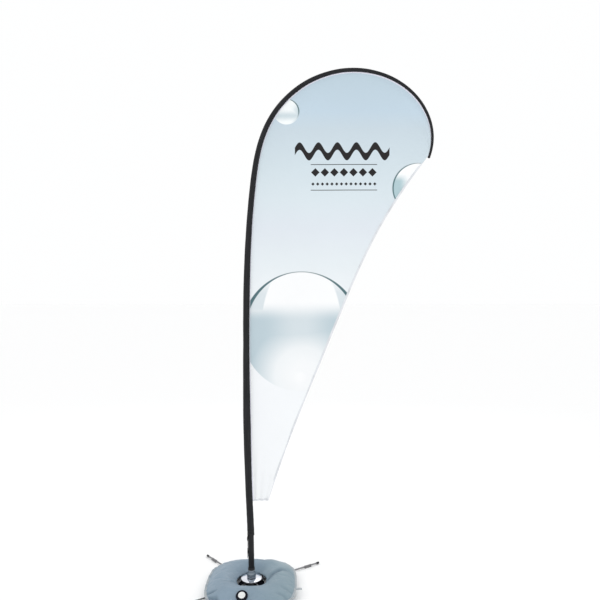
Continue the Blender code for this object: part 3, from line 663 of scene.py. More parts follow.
def piped(points, radius, resolution=5):
    """A round bar drawn as a curve along its line and made a mesh."""
    deselect()
    bpy.ops.curve.primitive_bezier_curve_add()
    piece = bpy.context.object
    curve = piece.data
    curve.splines.clear()
    spline = curve.splines.new("POLY")
    spline.points.add(len(points) - 1)
    for point, place in zip(spline.points, points):
        point.co = (*place, 1.0)
    curve.dimensions = "3D"
    curve.bevel_depth = radius
    curve.bevel_resolution = resolution
    curve.use_fill_caps = True
    bpy.ops.object.convert(target="MESH")
    piece = bpy.context.object
    with editing():
        bpy.ops.mesh.remove_doubles(threshold=0.00001)
        bpy.ops.mesh.normals_make_consistent(inside=False)
    return piece


def stitch(bm, place, tangent, outward, length=0.0026, width=0.0007, height=0.0004):
    """One stitch: a low bead of thread lying on the cloth."""
    side = outward.cross(tangent).normalized()
    low, top = [], []
    for forward, sideways in ((-1, -1), (1, -1), (1, 1), (-1, 1)):
        corner = tangent * (forward * length / 2) + side * (sideways * width / 2)
        low.append(bm.verts.new(place + corner - outward * height * 0.5))
        top.append(bm.verts.new(place + corner * 0.66 + outward * height))
    bm.faces.new(top)
    bm.faces.new(reversed(low))
    for i in range(4):
        j = (i + 1) % 4
        bm.faces.new((low[i], low[j], top[j], top[i]))


# ---------------------------------------------------------------- sleeve


def gathers(along, angle):
    """How far the knit stands proud where the bend bunches it, and where it hangs loose at the foot."""
    inner_side = max(0.0, math.cos(angle))
    bends = math.sin(math.tau * along / 0.021 + 1.3 * math.sin(9 * along))
    bunched = eased(along, 1.95, 2.3) * inner_side * bends
    slack = (1.0 - eased(along, 0.25, 0.55)) * math.sin(math.tau * along / 0.034 + 2.0 * angle)
    drift = noise.noise(Vector((along * 14.0, math.cos(angle) * 1.4, math.sin(angle) * 1.4)))
    return 0.00022 * bunched + 0.00025 * slack + 0.00055 * drift


def sleeve_point(along, angle, lift=0.0):
    """A point of the sleeve: angle 0 faces the flag."""
    centre, inwards, back = pole_frame(along)
    reach = between(SLEEVE_RADIUS, along) + gathers(along, angle) + lift
    return centre + inwards * (reach * math.cos(angle)) + back * (reach * math.sin(angle))


def lofted(rings, widths, alongs):
    """A skin over rings of points, with a cloth UV map in metres: across and along."""
    bm = bmesh.new()
    uv = bm.loops.layers.uv.new("cloth")
    rows = [[bm.verts.new(point) for point in ring] for ring in rings]
    count = len(rows[0])
    for k in range(len(rows) - 1):
        for i in range(count):
            j = (i + 1) % count
            face = bm.faces.new((rows[k][i], rows[k][j], rows[k + 1][j], rows[k + 1][i]))
            corners = ((k, i), (k, i + 1), (k + 1, i + 1), (k + 1, i))
            for loop, (row, column) in zip(face.loops, corners):
                loop[uv].uv = (widths[row] * column / count, alongs[row])
    return bm


def pole_sleeve():
    """The knitted sleeve over the pole, with its cut size and its area."""
    alongs = spread(SLEEVE_START, SLEEVE_END, 0.0085)
    rings = [[sleeve_point(along, angle) for angle in once_round(30)] for along in alongs]
    widths = [math.tau * between(SLEEVE_RADIUS, along) for along in alongs]
    bm = lofted(rings, widths, alongs)
    stands_for = ("pole_sleeve",)
    sleeve = sewn("pole_sleeve_cloth", bm, "flag_pole", "black_webbing", stands_for, 70, SLEEVE_THICKNESS)
    area = sum((widths[k] + widths[k + 1]) / 2 * (alongs[k + 1] - alongs[k]) for k in range(len(alongs) - 1))
    return sleeve, (max(widths), SLEEVE_END - SLEEVE_START), area


def about_pole(name, outline, slot, stands_for, sides=36, finish=None):
    """A closed soft ring about the pole's line, from a loop of (distance, radius)."""
    rings, alongs, widths = [], [], []
    for along, radius in outline + outline[:1]:
        centre, inwards, back = pole_frame(along)
        ring = []
        for angle in once_round(sides):
            ring.append(centre + inwards * (radius * math.cos(angle)) + back * (radius * math.sin(angle)))
        rings.append(ring)
        alongs.append(along)
        widths.append(math.tau * max(radius, 0.001))
    bm = lofted(rings, widths, alongs)
    bmesh.ops.remove_doubles(bm, verts=bm.verts, dist=0.00001)
    bmesh.ops.dissolve_degenerate(bm, edges=bm.edges, dist=0.000001)
    return sewn(name, bm, "flag_pole", slot, stands_for, 50, finish=finish)


def stitch_round(bm, along, radius, count, length):
    """A row of stitches round the pole's line."""
    centre, inwards, back = pole_frame(along)
    for angle in once_round(count):
        outward = inwards * math.cos(angle) + back * math.sin(angle)
        tangent = back * math.cos(angle) - inwards * math.sin(angle)
        stitch(bm, centre + outward * radius, tangent, outward, length)


def sleeve_cuff():
    """The doubled band at the sleeve's foot, with a rolled edge top and bottom."""
    start, end = CUFF_START, SLEEVE_START - 0.0003
    low, high, wall = POLE_RADIUS + 0.0003, 0.0175, 0.0007
    outline = [
        (start, low), (start - 0.0001, high - wall), (start + 0.0010, high + 0.0006),
        (start + 0.0030, high + 0.0005), (start + 0.0042, high), (end - 0.0050, high - 0.0001),
        (end - 0.0036, high + 0.0004), (end - 0.0012, high + 0.0005), (end, high - wall),
        (end, low), (end - 0.0100, low), (start + 0.0100, low),
    ]
    cuff = about_pole("sleeve_cuff_webbing", outline, "black_webbing", ("sleeve_foot_cuff",), finish=BINDING)
    bm = bmesh.new()
    for along in (start + 0.0052, start + 0.0075, end - 0.0064):
        stitch_round(bm, along, high + 0.0001, 34, 0.0020)
    thread = sewn("cuff_stitching", bm, "flag_pole", "black_webbing", finish=DARK_THREAD)
    return cuff, thread


def tip_pocket():
    """The sleeve's closed end, gathered to a small round cup over the pole's tip."""
    start, end = SLEEVE_END + 0.0003, POLE_LENGTH
    centre = end - TIP_BALL_RADIUS
    outline = [(start, between(SLEEVE_RADIUS, start) + 0.0003)]
    for degrees in spread(36.0, -90.0, 10.5):
        angle = math.radians(degrees)
        radius = max(TIP_BALL_RADIUS * math.cos(angle), 0.0)
        outline.append((centre - TIP_BALL_RADIUS * math.sin(angle), radius))
    outline += [(end - 0.0040, 0.0), (end - 0.0050, 0.0045), (start, 0.0045)]
    pocket = about_pole("tip_pocket_cloth", outline, "black_webbing", ("sleeve_tip_pocket",), 28, BINDING)
    bm = bmesh.new()
    stitch_round(bm, start + 0.0026, 0.0066, 16, 0.0017)
    thread = sewn("pocket_stitching", bm, "flag_pole", "black_webbing", finish=DARK_THREAD)
    return pocket, thread


def sleeve_stitching():
    """The two rows that join the sleeve to the flag, front and back."""
    bm = bmesh.new()
    for along in spread(PANEL_FOOT_ALONG + 0.004, SLEEVE_END - 0.006, 0.0044):
        for side in (-1, 1):
            angle = side * math.radians(24)
            place = sleeve_point(along, angle)
            tangent = (sleeve_point(along + 0.001, angle) - place).normalized()
            outward = (sleeve_point(along, angle, 0.001) - place).normalized()
            stitch(bm, place, tangent, outward, 0.0031, 0.0008)
    return sewn("sleeve_seam_stitching", bm, "flag_pole", "black_webbing", finish=DARK_THREAD)


# ---------------------------------------------------------------- flag


def free_edge(share):
    """A point of the free edge, from the tip (0) to the foot corner (1)."""
    centre, inwards, _ = pole_frame(PANEL_TIP_ALONG)
    top = (centre + inwards * (TIP_BALL_RADIUS + 0.0006)).xz
    line = PANEL_FOOT_CORNER - top
    inside = Vector((line.y, -line.x)).normalized()
    hollow = sum(size * math.sin(math.pi * (k + 1) * share) for k, size in enumerate(FREE_EDGE_WAVES))
    return top + line * share + inside * hollow


def panel_place(height, across):
    """A point of the flag: height runs from the foot (0) to the tip (1), across from sleeve to free edge."""
    along = PANEL_FOOT_ALONG + height * (PANEL_TIP_ALONG - PANEL_FOOT_ALONG)
    centre, inwards, _ = pole_frame(along)
    sewn_edge = (centre + inwards * (between(SLEEVE_RADIUS, along) - 0.0012)).xz
    return sewn_edge.lerp(free_edge(1.0 - height), across), along


def ripple(height, across, place):
    """How far the cloth stands to the front or back: tight at the sleeve, looser at the free edge."""
    calm = eased(height, 0.0, 0.08) * (1.0 - eased(height, 0.94, 1.0))
    edge = 0.0042 * across**3 * math.sin(math.tau * (place.y * 3.1 + place.x * 0.9)) * calm
    belly = 0.0075 * math.sin(math.pi * across) * math.sin(math.tau * (place.y * 0.62 + place.x * 0.25) + 0.7)
    near_tip = eased(height, 0.72, 0.9) * (1 - eased(height, 0.95, 1))
    pull = 0.0016 * math.sin(26.0 * across + 3.0 * height) * near_tip
    foot = 0.0022 * math.sin(19.0 * across + 6.0) * (1.0 - eased(height, 0.02, 0.12))
    fine = 0.0022 * noise.noise(Vector((place.x * 7.0, 0.0, place.y * 3.0))) * across
    held = eased(across, 0.0, 0.10)
    return (edge + belly + pull + foot + fine) * held


def panel_point(height, across):
    place, _ = panel_place(height, across)
    return Vector((place.x, ripple(height, across, place), place.y))


def flag_cloth():
    """The printed cloth, from the sleeve to the free edge, with its cut size and its area."""
    columns = 44
    bm = bmesh.new()
    uv = bm.loops.layers.uv.new("cloth")
    rows = []
    for height in spread(0.0, 1.0, 1 / 300):
        inner, along = panel_place(height, 0.0)
        width = (panel_place(height, 1.0)[0] - inner).length
        row = []
        for i in range(columns + 1):
            across = i / columns
            row.append((bm.verts.new(panel_point(height, across)), (across * width, along)))
        rows.append(row)
    area = 0.0
    for row, following in zip(rows, rows[1:]):
        for i in range(columns):
            corners = (row[i], row[i + 1], following[i + 1], following[i])
            face = bm.faces.new([vert for vert, _ in corners])
            area += face.calc_area()
            for loop, (_, place) in zip(face.loops, corners):
                loop[uv].uv = place
    bm.normal_update()
    cloth = sewn("flag_cloth", bm, "flag_pole", "printed_polyester", ("flag_panel",), 80, CLOTH_THICKNESS)
    return cloth, (extent(cloth, 0), extent(cloth, 2)), area


def extent(piece, axis):
    """The piece's size along an axis."""
    places = [vert.co[axis] for vert in piece.data.vertices]
    return max(places) - min(places)


def edge_line():
    """Places down the free edge and along the foot, with how far across the flag each lies."""
    line = [(height, 1.0) for height in spread(0.992, 0.0, 0.0032)]
    return line + [(0.0, across) for across in spread(1.0, 0.05, 0.04)[1:]]


def hem_frames():
    """For each place on the edge: the place, the hem's direction, the way inwards, the distance so far."""
    line = [panel_point(height, across) for height, across in edge_line()]
    frames = []
    travelled = 0.0
    for i, place in enumerate(line):
        before = line[max(i - 1, 0)]
        tangent = (line[min(i + 1, len(line) - 1)] - before).normalized()
        inward = tangent.cross(Vector((0.0, -1.0, 0.0))).normalized()
        travelled += (place - before).length
        frames.append((place, tangent, inward, travelled))
    return frames


def flag_hem():
    """The folded edge of the flag: a flat doubled strip round the free edge and the foot."""
    frames = hem_frames()
    rings = []
    half = HEM_THICKNESS / 2
    over = Vector((0.0, half, 0.0))
    for place, _, inward, travelled in frames:
        width = HEM_WIDTH * min(1.0, 0.15 + travelled / 0.05)
        section = ((0.0015, 1.0), (width, 0.9), (width, -0.9), (0.0015, -1.0))
        folded = [place + inward * reach + over * share for reach, share in section]
        rings.append([place - inward * 0.0006, place + over * 0.8, *folded, place - over * 0.8])
    bm = lofted(rings, [0.02] * len(rings), [travelled for *_, travelled in frames])
    bmesh.ops.holes_fill(bm, edges=bm.edges, sides=8)
    hem = sewn("flag_hem", bm, "flag_pole", "printed_polyester", (), 50, finish=MARGIN_CLOTH)

    bm = bmesh.new()
    due = 0.05
    for place, tangent, inward, travelled in frames:
        while due < travelled:
            spot = place - tangent * (travelled - due) + inward * (HEM_WIDTH - 0.0022)
            for side in (-1.0, 1.0):
                outward = Vector((0.0, side, 0.0))
                stitch(bm, spot + outward * half * 0.9, tangent, outward, 0.0025, 0.0007, 0.00035)
            due += 0.0036
    thread = sewn("hem_stitching", bm, "flag_pole", "printed_polyester", finish=PALE_THREAD)
    return hem, thread


# ---------------------------------------------------------------- strap and its fittings


def on_pole_side(along, out, side=0.0):
    """A point on the pole's -X side: distance up the pole, out from its line, and sideways."""
    centre, inwards, back = pole_frame(along)
    return centre - inwards * out + back * side


STRAP_WIDTH = 0.019
STRAP_THICKNESS = 0.0010
STRAP_FACE = POLE_RADIUS + 0.0013
# The strap: distance along the pole, and how far it stands off the tube.
STRAP_PATH = (
    (0.1744, 0.0018), (0.1550, 0.0018), (0.1350, 0.0018), (0.1150, 0.0018), (0.1000, 0.0017),
    (0.0935, 0.0013), (0.0885, 0.0007), (0.0820, 0.0007), (0.0792, 0.0010), (0.0780, 0.0023),
    (0.0790, 0.0036), (0.0825, 0.0040), (0.0880, 0.0039), (0.0935, 0.0033), (0.1000, 0.0030),
    (0.1090, 0.0029),
)
HOOK_MIDDLE = STRAP_FACE + 0.0010
STUD_ALONG = 0.0700
SLIDER_ALONG = 0.1580


def strap():
    """Flat webbing from the cuff down to the hook, round its bar and back up, where it is sewn."""
    points = [Vector(point) for point in STRAP_PATH]
    rings, alongs, travelled = [], [], 0.0
    half_width, half = STRAP_WIDTH / 2, STRAP_THICKNESS / 2
    section = []
    for share in (-1.0, -0.96, -0.5, 0.0, 0.5, 0.96):
        section.append((share * half_width, half * (0.55 if abs(share) > 0.9 else 1.0)))
    section.append((half_width, half * 0.4))
    loop = section + [(side, -out) for side, out in reversed(section)]
    for i, point in enumerate(points):
        before = points[max(i - 1, 0)]
        direction = (points[min(i + 1, len(points) - 1)] - before).normalized()
        across = Vector((-direction.y, direction.x))
        travelled += (point - before).length
        alongs.append(travelled)
        moved = [(point + across * out, side) for side, out in loop]
        rings.append([on_pole_side(place.x, POLE_RADIUS + place.y, side) for place, side in moved])
    bm = lofted(rings, [0.04] * len(rings), alongs)
    bmesh.ops.holes_fill(bm, edges=bm.edges, sides=20)
    sewn("tension_strap_webbing", bm, "flag_pole", "black_webbing", ("tension_strap",), 50, finish=BINDING)
    bm = bmesh.new()
    corners = ((0.0945, -0.0065), (0.0945, 0.0065), (0.1065, 0.0065), (0.1065, -0.0065))
    runs = [*zip(corners, corners[1:] + corners[:1]), (corners[0], corners[2]), (corners[1], corners[3])]
    for (start_along, start_side), (end_along, end_side) in runs:
        start = on_pole_side(start_along, POLE_RADIUS + 0.0037, start_side)
        end = on_pole_side(end_along, POLE_RADIUS + 0.0036, end_side)
        count = max(2, round((end - start).length / 0.0030))
        for k in range(count):
            place = start.lerp(end, (k + 0.5) / count)
            stitch(bm, place, (end - start).normalized(), Vector((-1.0, 0.0, 0.0)), 0.0022)
    sewn("strap_box_stitching", bm, "flag_pole", "black_webbing", finish=PALE_THREAD)


def strap_hook():
    """The steel plate on the stud: rounded, with an eye for the stud and a slot for the webbing."""
    middle = on_pole_side(0.0744, HOOK_MIDDLE)
    plate = block((0.0020, STRAP_WIDTH + 0.005, 0.0270), middle, 0.0007)
    drill(plate, 0.0041, on_pole_side(STUD_ALONG, HOOK_MIDDLE), 40, (0.0, math.pi / 2, 0.0))
    cut_out(plate, block((0.02, STRAP_WIDTH + 0.0012, 0.0040), on_pole_side(0.0783, HOOK_MIDDLE), 0.0008))
    settle(plate, "hook_plate", "flag_pole", "zinc_steel", ("strap_hook",), 35)
    outline = [(0.0, 0.0), (0.0, 0.0034), (0.0033, 0.0034), (0.0033, 0.0060), (0.0045, 0.0052), (0.0054, 0.0)]
    stud = spun(rounded(outline, 0.0005))
    seat = Matrix.Translation(on_pole_side(STUD_ALONG, POLE_RADIUS + 0.0003))
    stud.matrix_world = seat @ Matrix.Rotation(-math.pi / 2, 4, "Y")
    settle(stud, "hook_stud_rivet", "flag_pole", "zinc_steel", ("hook_stud",), 35)


def strap_slider():
    """The moulded slider: a box with a slot for the webbing and three grip ribs across its face."""
    middle = on_pole_side(SLIDER_ALONG, STRAP_FACE + STRAP_THICKNESS / 2)
    body = block((0.0030, 0.0240, 0.0170), middle, 0.0005)
    cut_out(body, block((0.0022, 0.0202, 0.0300), middle, 0.0002))
    ribs = []
    for step in (-0.005, 0.0, 0.005):
        place = on_pole_side(SLIDER_ALONG + step, POLE_RADIUS + 0.0038)
        ribs.append(block((0.0018, 0.0210, 0.0030), place, 0.0007))
    settle(join(body, *ribs), "slider_buckle", "slider", "black_plastic", ("strap_slider",), 35)


# ---------------------------------------------------------------- pole foot, collar and disc


def bare_pole():
    """The lower tube, round and smooth, with a chamfered foot."""
    alongs = [0.0006, 0.10] + spread(0.11, 0.30, 0.012) + spread(0.34, 0.96, 0.06)
    outline = [(0.0, POLE_RADIUS - 0.0005)] + [(along, POLE_RADIUS) for along in alongs]
    outline += [(along, TUBE_BORE_RADIUS) for along in reversed([0.0] + alongs)]
    about_pole("bare_lower_pole", outline, "black_glass_fibre", ("pole_lower_tube",), 48)


def pole_foot_rim():
    """The ring round the pole's foot, with a groove in it."""
    low = POLE_FOOT_Z
    outline = [
        (low, 0.0151), (low, 0.0167), (low + 0.0012, 0.0171), (low + 0.0034, 0.0172),
        (low + 0.0040, 0.0167), (low + 0.0048, 0.0167), (low + 0.0054, 0.0172),
        (low + 0.0090, 0.0171), (low + 0.0115, 0.0166), (low + 0.0115, 0.0151),
    ]
    piece = spun(rounded(outline, 0.0004), 72)
    settle(piece, "pole_foot_rim", "flag_pole", "black_plastic", ("pole_foot_ring",), 35)


def spigot_collar():
    """The turned collar: a straight foot, two fine grooves and a tapered neck."""
    outline = [
        (0.0425, 0.0113), (0.0425, 0.0224), (0.0432, 0.0228), (0.0446, 0.0228), (0.0500, 0.0229),
        (0.0530, 0.0228), (0.0533, 0.0224), (0.0541, 0.0223), (0.0544, 0.0226), (0.0580, 0.0219),
        (0.0640, 0.0203), (0.0643, 0.0198), (0.0651, 0.0195), (0.0655, 0.0198), (0.0700, 0.0182),
        (0.0765, 0.0174), (0.0782, 0.0164), (0.0782, 0.0121), (0.0668, 0.0121), (0.0668, 0.0113),
    ]
    piece = spun(rounded(outline, 0.0003, 2), 96)
    settle(piece, "spigot_collar", "rotor", "bright_aluminium", ("collar_housing",), 30)


def spigot_tube():
    """The tube that the pole drops on to, with the flange that sits in the collar."""
    outline = [
        (0.0671, 0.0094), (0.0671, 0.0117), (0.0776, 0.0117), (0.0788, 0.0098), (0.1800, 0.0098),
        (0.1800, 0.0075), (0.0765, 0.0075), (0.0765, 0.0094),
    ]
    piece = spun(rounded(outline, 0.0004), 64)
    settle(piece, "spindle_tube", "rotor", "zinc_steel", ("spigot_tube",), 35)


def cover_disc():
    """The plated plate: a shallow dome that runs out to a rolled rim."""
    roll_radius, crown_radius, rise = 0.0012, 0.0250, 0.0030
    outline = [(0.0339, 0.0043), (0.0339, 0.0300), (0.0344, 0.0500)]
    for i in range(9):
        angle = math.radians(-80 + 170 * i / 8)
        outline.append((0.03605 + roll_radius * math.sin(angle), 0.0508 + roll_radius * math.cos(angle)))
    for i in range(13):
        radius = 0.0496 - (0.0496 - crown_radius) * i / 12
        outline.append((0.0372 + rise * (1 - ((radius - crown_radius) / crown_radius) ** 2), radius))
    outline += [(0.0405, 0.0180), (0.0405, 0.0043)]
    settle(spun(outline, 128), "chrome_cover_disc", "base", "chrome_plate", ("cover_disc",), 40)


# ---------------------------------------------------------------- rods


def rod_place(azimuth, boss_z, along):
    """A point on a rod's line: straight out of its boss, then eased down to its level."""
    drop = (boss_z - ROD_LEVEL_Z) * eased(along, *ROD_DIP)
    return Vector((math.cos(azimuth) * along, math.sin(azimuth) * along, boss_z - drop))


def rod_foot(name, azimuth, body):
    """A rubber foot: round over the rod, flat underneath, with grooves round it."""
    start, end = FOOT_SPAN
    height = FOOT_HALF_WIDTH + ROD_LEVEL_Z
    size = (end - start, 2 * FOOT_HALF_WIDTH, height)
    piece = block(size, ((start + end) / 2, 0.0, height / 2), 0.0008, 2)
    bpy.ops.object.transform_apply(location=True, rotation=False, scale=False)
    cuts = []
    for i in range(5):
        groove = start + 0.0072 + i * 0.0064
        cuts += [groove - 0.0010, groove + 0.0010]
    with editing():
        bpy.ops.mesh.subdivide(number_cuts=1)
        for cut in cuts:
            bpy.ops.mesh.select_all(action="SELECT")
            bpy.ops.mesh.bisect(plane_co=(cut, 0.0, 0.0), plane_no=(1.0, 0.0, 0.0))
    for vert in piece.data.vertices:
        if vert.co.z > ROD_LEVEL_Z:
            off = Vector((vert.co.y, vert.co.z - ROD_LEVEL_Z))
            reach = max(abs(off.x), abs(off.y)) / max(off.length, 1e-6)
            vert.co.y *= reach
            vert.co.z = ROD_LEVEL_Z + off.y * reach
    for face in piece.data.polygons:
        centre = face.center.x
        in_groove = any(cuts[k] < centre < cuts[k + 1] for k in range(0, len(cuts), 2))
        face.select = in_groove and abs(face.normal.x) < 0.5
    bpy.ops.object.mode_set(mode="EDIT")
    bpy.ops.mesh.select_mode(type="FACE")
    bpy.ops.mesh.extrude_region_shrink_fatten(TRANSFORM_OT_shrink_fatten={"value": -0.0006})
    bpy.ops.mesh.select_mode(type="VERT")
    bpy.ops.object.mode_set(mode="OBJECT")
    piece.rotation_euler = (0.0, 0.0, azimuth)
    settle(piece, f"{name}_rubber_foot", body, "black_rubber", (f"{name}_foot",), 40, GREY_RUBBER)


def rod_end_cap(name, azimuth, body):
    """A plastic cap pushed over the rod's end."""
    outline = [
        (0.3985, 0.0041), (0.3985, 0.0050), (0.4000, 0.0056), (0.4120, 0.0056), (0.4140, 0.0048),
        (0.4150, 0.0030), (0.4152, 0.0), (0.4085, 0.0), (0.4085, 0.0041),
    ]
    piece = spun(rounded(outline, 0.0005), 40)
    turn = Matrix.Rotation(azimuth, 4, "Z") @ Matrix.Rotation(math.pi / 2, 4, "Y")
    piece.matrix_world = Matrix.Translation((0.0, 0.0, ROD_LEVEL_Z)) @ turn
    settle(piece, f"{name}_cap", body, "black_plastic", (f"{name}_end_cap",), 35)


def rods():
    """Four rods out of their bosses, each with its foot and its end cap."""
    for name, (degrees, body) in RODS.items():
        azimuth = math.radians(degrees)
        boss_z = BOSS_MIDDLE[name.split("_")[0]]
        alongs = [0.0085, 0.018] + spread(*ROD_DIP, 0.0035) + [0.12, 0.2, 0.3, 0.408]
        bar = piped([rod_place(azimuth, boss_z, along) for along in alongs], ROD_RADIUS)
        settle(bar, f"{name}_bar", body, "rod_steel", (f"{name}_rod",), 50)
        rod_foot(name, azimuth, body)
        rod_end_cap(name, azimuth, body)


# ---------------------------------------------------------------- water ring

# The ring's section, from the hole (0) to the outer edge (1), with the height at each point.
BAG_SECTION = (
    (0.000, 0.0350), (0.030, 0.0410), (0.100, 0.0525), (0.200, 0.0620), (0.310, 0.0680),
    (0.430, 0.0690), (0.560, 0.0650), (0.690, 0.0575), (0.800, 0.0505), (0.900, 0.0430),
    (0.970, 0.0365), (1.000, 0.0333), (0.975, 0.0255), (0.920, 0.0185), (0.840, 0.0150),
    (0.560, 0.0146), (0.280, 0.0150), (0.180, 0.0175), (0.070, 0.0250), (0.015, 0.0300),
)


def bag_outline(angle):
    """The ring's outer radius: a rounded square about its own centre."""
    spanned = (abs(math.cos(angle)) / BAG_HALF[0]) ** BAG_SQUARENESS
    spanned += (abs(math.sin(angle)) / BAG_HALF[1]) ** BAG_SQUARENESS
    return spanned ** (-1 / BAG_SQUARENESS)


def bag_hole(angle):
    """The hole's radius, a little longer front to back."""
    half_x, half_y = BAG_HOLE_HALF
    return half_x * half_y / math.hypot(half_y * math.cos(angle), half_x * math.sin(angle))


def bag_point(share, angle, height):
    """A point between the hole's edge (0) and the outer edge (1)."""
    centre = BAG_HOLE_CENTRE.lerp(BAG_OUTER_CENTRE, share)
    reach = bag_hole(angle) + share * (bag_outline(angle) - bag_hole(angle))
    return Vector((centre.x + reach * math.cos(angle), centre.y + reach * math.sin(angle), height))


def bag_share(place):
    """Where a point lies between the hole's edge (0) and the outer edge (1), with its angle."""
    share = 0.5
    for _ in range(4):
        centre = BAG_HOLE_CENTRE.lerp(BAG_OUTER_CENTRE, share)
        off = Vector((place.x - centre.x, place.y - centre.y))
        angle = math.atan2(off.y, off.x)
        share = (off.length - bag_hole(angle)) / (bag_outline(angle) - bag_hole(angle))
        share = min(max(share, 0.0), 1.0)
    return share, angle


def puckers(share, angle, side):
    """Creases that run in from the weld and the hole, deepest at the corners."""
    from_edge = math.exp(-((1.0 - share) / 0.16) ** 2)
    from_hole = math.exp(-(share / 0.18) ** 2)
    corner = 0.55 + 0.45 * abs(math.sin(2 * angle))
    edge_folds = math.sin(37 * angle + 3.1 * math.sin(5 * angle)) + 0.6 * math.sin(61 * angle + 1.0)
    hole_folds = math.sin(19 * angle + 1.7 * math.sin(3 * angle + 1.0))
    broad = noise.noise(Vector((3.2 * math.cos(angle), 3.2 * math.sin(angle), 2.5 * share + side)))
    near_welds = 0.0011 * from_edge * corner * edge_folds + 0.0010 * from_hole * hole_folds
    return near_welds + 0.0035 * broad * (1 - from_edge)


# Each crease: the four points of its line, how deep it is, and how wide.
CREASES = (
    ((0.066, -0.056), (0.105, -0.014), (0.146, 0.020), (0.186, 0.024), 0.0090, 0.014),
    ((-0.060, -0.060), (-0.090, -0.092), (-0.118, -0.100), (-0.150, -0.098), 0.0030, 0.011),
    ((-0.205, -0.150), (-0.190, -0.160), (-0.172, -0.166), (-0.150, -0.168), 0.0095, 0.007),
    ((-0.208, -0.185), (-0.186, -0.192), (-0.166, -0.205), (-0.146, -0.222), 0.0100, 0.007),
    ((-0.150, -0.206), (-0.142, -0.222), (-0.130, -0.240), (-0.124, -0.256), 0.0095, 0.006),
    ((0.208, -0.150), (0.188, -0.152), (0.168, -0.148), (0.146, -0.140), 0.0034, 0.008),
    ((0.188, -0.210), (0.168, -0.200), (0.146, -0.196), (0.124, -0.196), 0.0034, 0.008),
    ((-0.170, 0.120), (-0.150, 0.102), (-0.128, 0.090), (-0.100, 0.082), 0.0034, 0.009),
    ((0.060, 0.168), (0.056, 0.146), (0.046, 0.126), (0.040, 0.104), 0.0030, 0.009),
)


def crease_depth(place):
    """Soft folds in the top skin, each along a short line and fading out at its ends."""
    here = Vector((place.x, place.y))
    depth = 0.0
    for *line, deepest, width in CREASES:
        near, share_along = 1.0, 0.0
        for k in range(3):
            start, end = Vector(line[k]), Vector(line[k + 1])
            step = end - start
            share = min(max((here - start).dot(step) / step.length_squared, 0.0), 1.0)
            gap = (here - start - step * share).length
            if gap < near:
                near, share_along = gap, (k + share) / 3
        fade = math.sin(math.pi * min(max(share_along * 0.86 + 0.12, 0.0), 1.0)) ** 0.7
        depth += deepest * fade * math.exp(-((near / width) ** 2))
    return depth


def filler_place():
    """Where the filler sits, leaning with the ring's slope."""
    return Matrix.Translation(FILLER_AT) @ Matrix.Rotation(FILLER_LEAN, 4, "X")


def seated(place):
    """Lets the skin pass flat under the filler's flange."""
    inward = filler_place().inverted()
    local = inward @ place
    radius = local.xy.length
    if local.z < -0.02 or radius > 0.060:
        return place
    wanted = min(local.z, -0.0006)
    local.z = wanted + (local.z - wanted) * eased(radius, 0.0300, 0.0560)
    return filler_place() @ local


def swell(piece):
    """Water pressure pushes the skin out between its welds, which stay where they are."""
    before = [vert.co.copy() for vert in piece.data.vertices]
    held = piece.vertex_groups.new(name="welds")
    for vert in piece.data.vertices:
        share, _ = bag_share(vert.co)
        local = filler_place().inverted() @ vert.co
        under_filler = local.z > -0.012 and local.xy.length < 0.036
        near_weld = share > 0.955 or share < 0.015
        grounded = vert.co.z < 0.0165 and 0.15 < share < 0.88
        if under_filler or near_weld or grounded:
            held.add([vert.index], 1.0, "REPLACE")
    cloth = piece.modifiers.new("water", "CLOTH")
    settings = cloth.settings
    settings.quality = 5
    settings.mass = 0.4
    settings.tension_stiffness = 18.0
    settings.compression_stiffness = 9.0
    settings.bending_stiffness = 0.7
    settings.use_pressure = True
    settings.uniform_pressure_force = 4.0
    settings.vertex_group_mass = "welds"
    settings.effector_weights.gravity = 0.0
    settings.shrink_min = -0.02
    cloth.collision_settings.use_collision = False
    cloth.point_cache.frame_start = 1
    cloth.point_cache.frame_end = 20
    scene = bpy.context.scene
    for number in range(1, 21):
        scene.frame_set(number)
    apply_modifiers(piece)
    scene.frame_set(1)
    for vert, start in zip(piece.data.vertices, before):
        moved = vert.co - start
        if moved.length > MOST_SWELL:
            vert.co = start + moved.normalized() * MOST_SWELL
        vert.co.z = max(vert.co.z, BAG_FLOOR_Z + 0.0002)


def crease_shade_amount(place):
    """How much painted shade darkens the skin's colour at a point, from 0 to 1: more where the creases are
    deeper.
    """
    return min(crease_depth(place) / 0.010, 1.0) if place.z > FLANGE_Z else 0.0


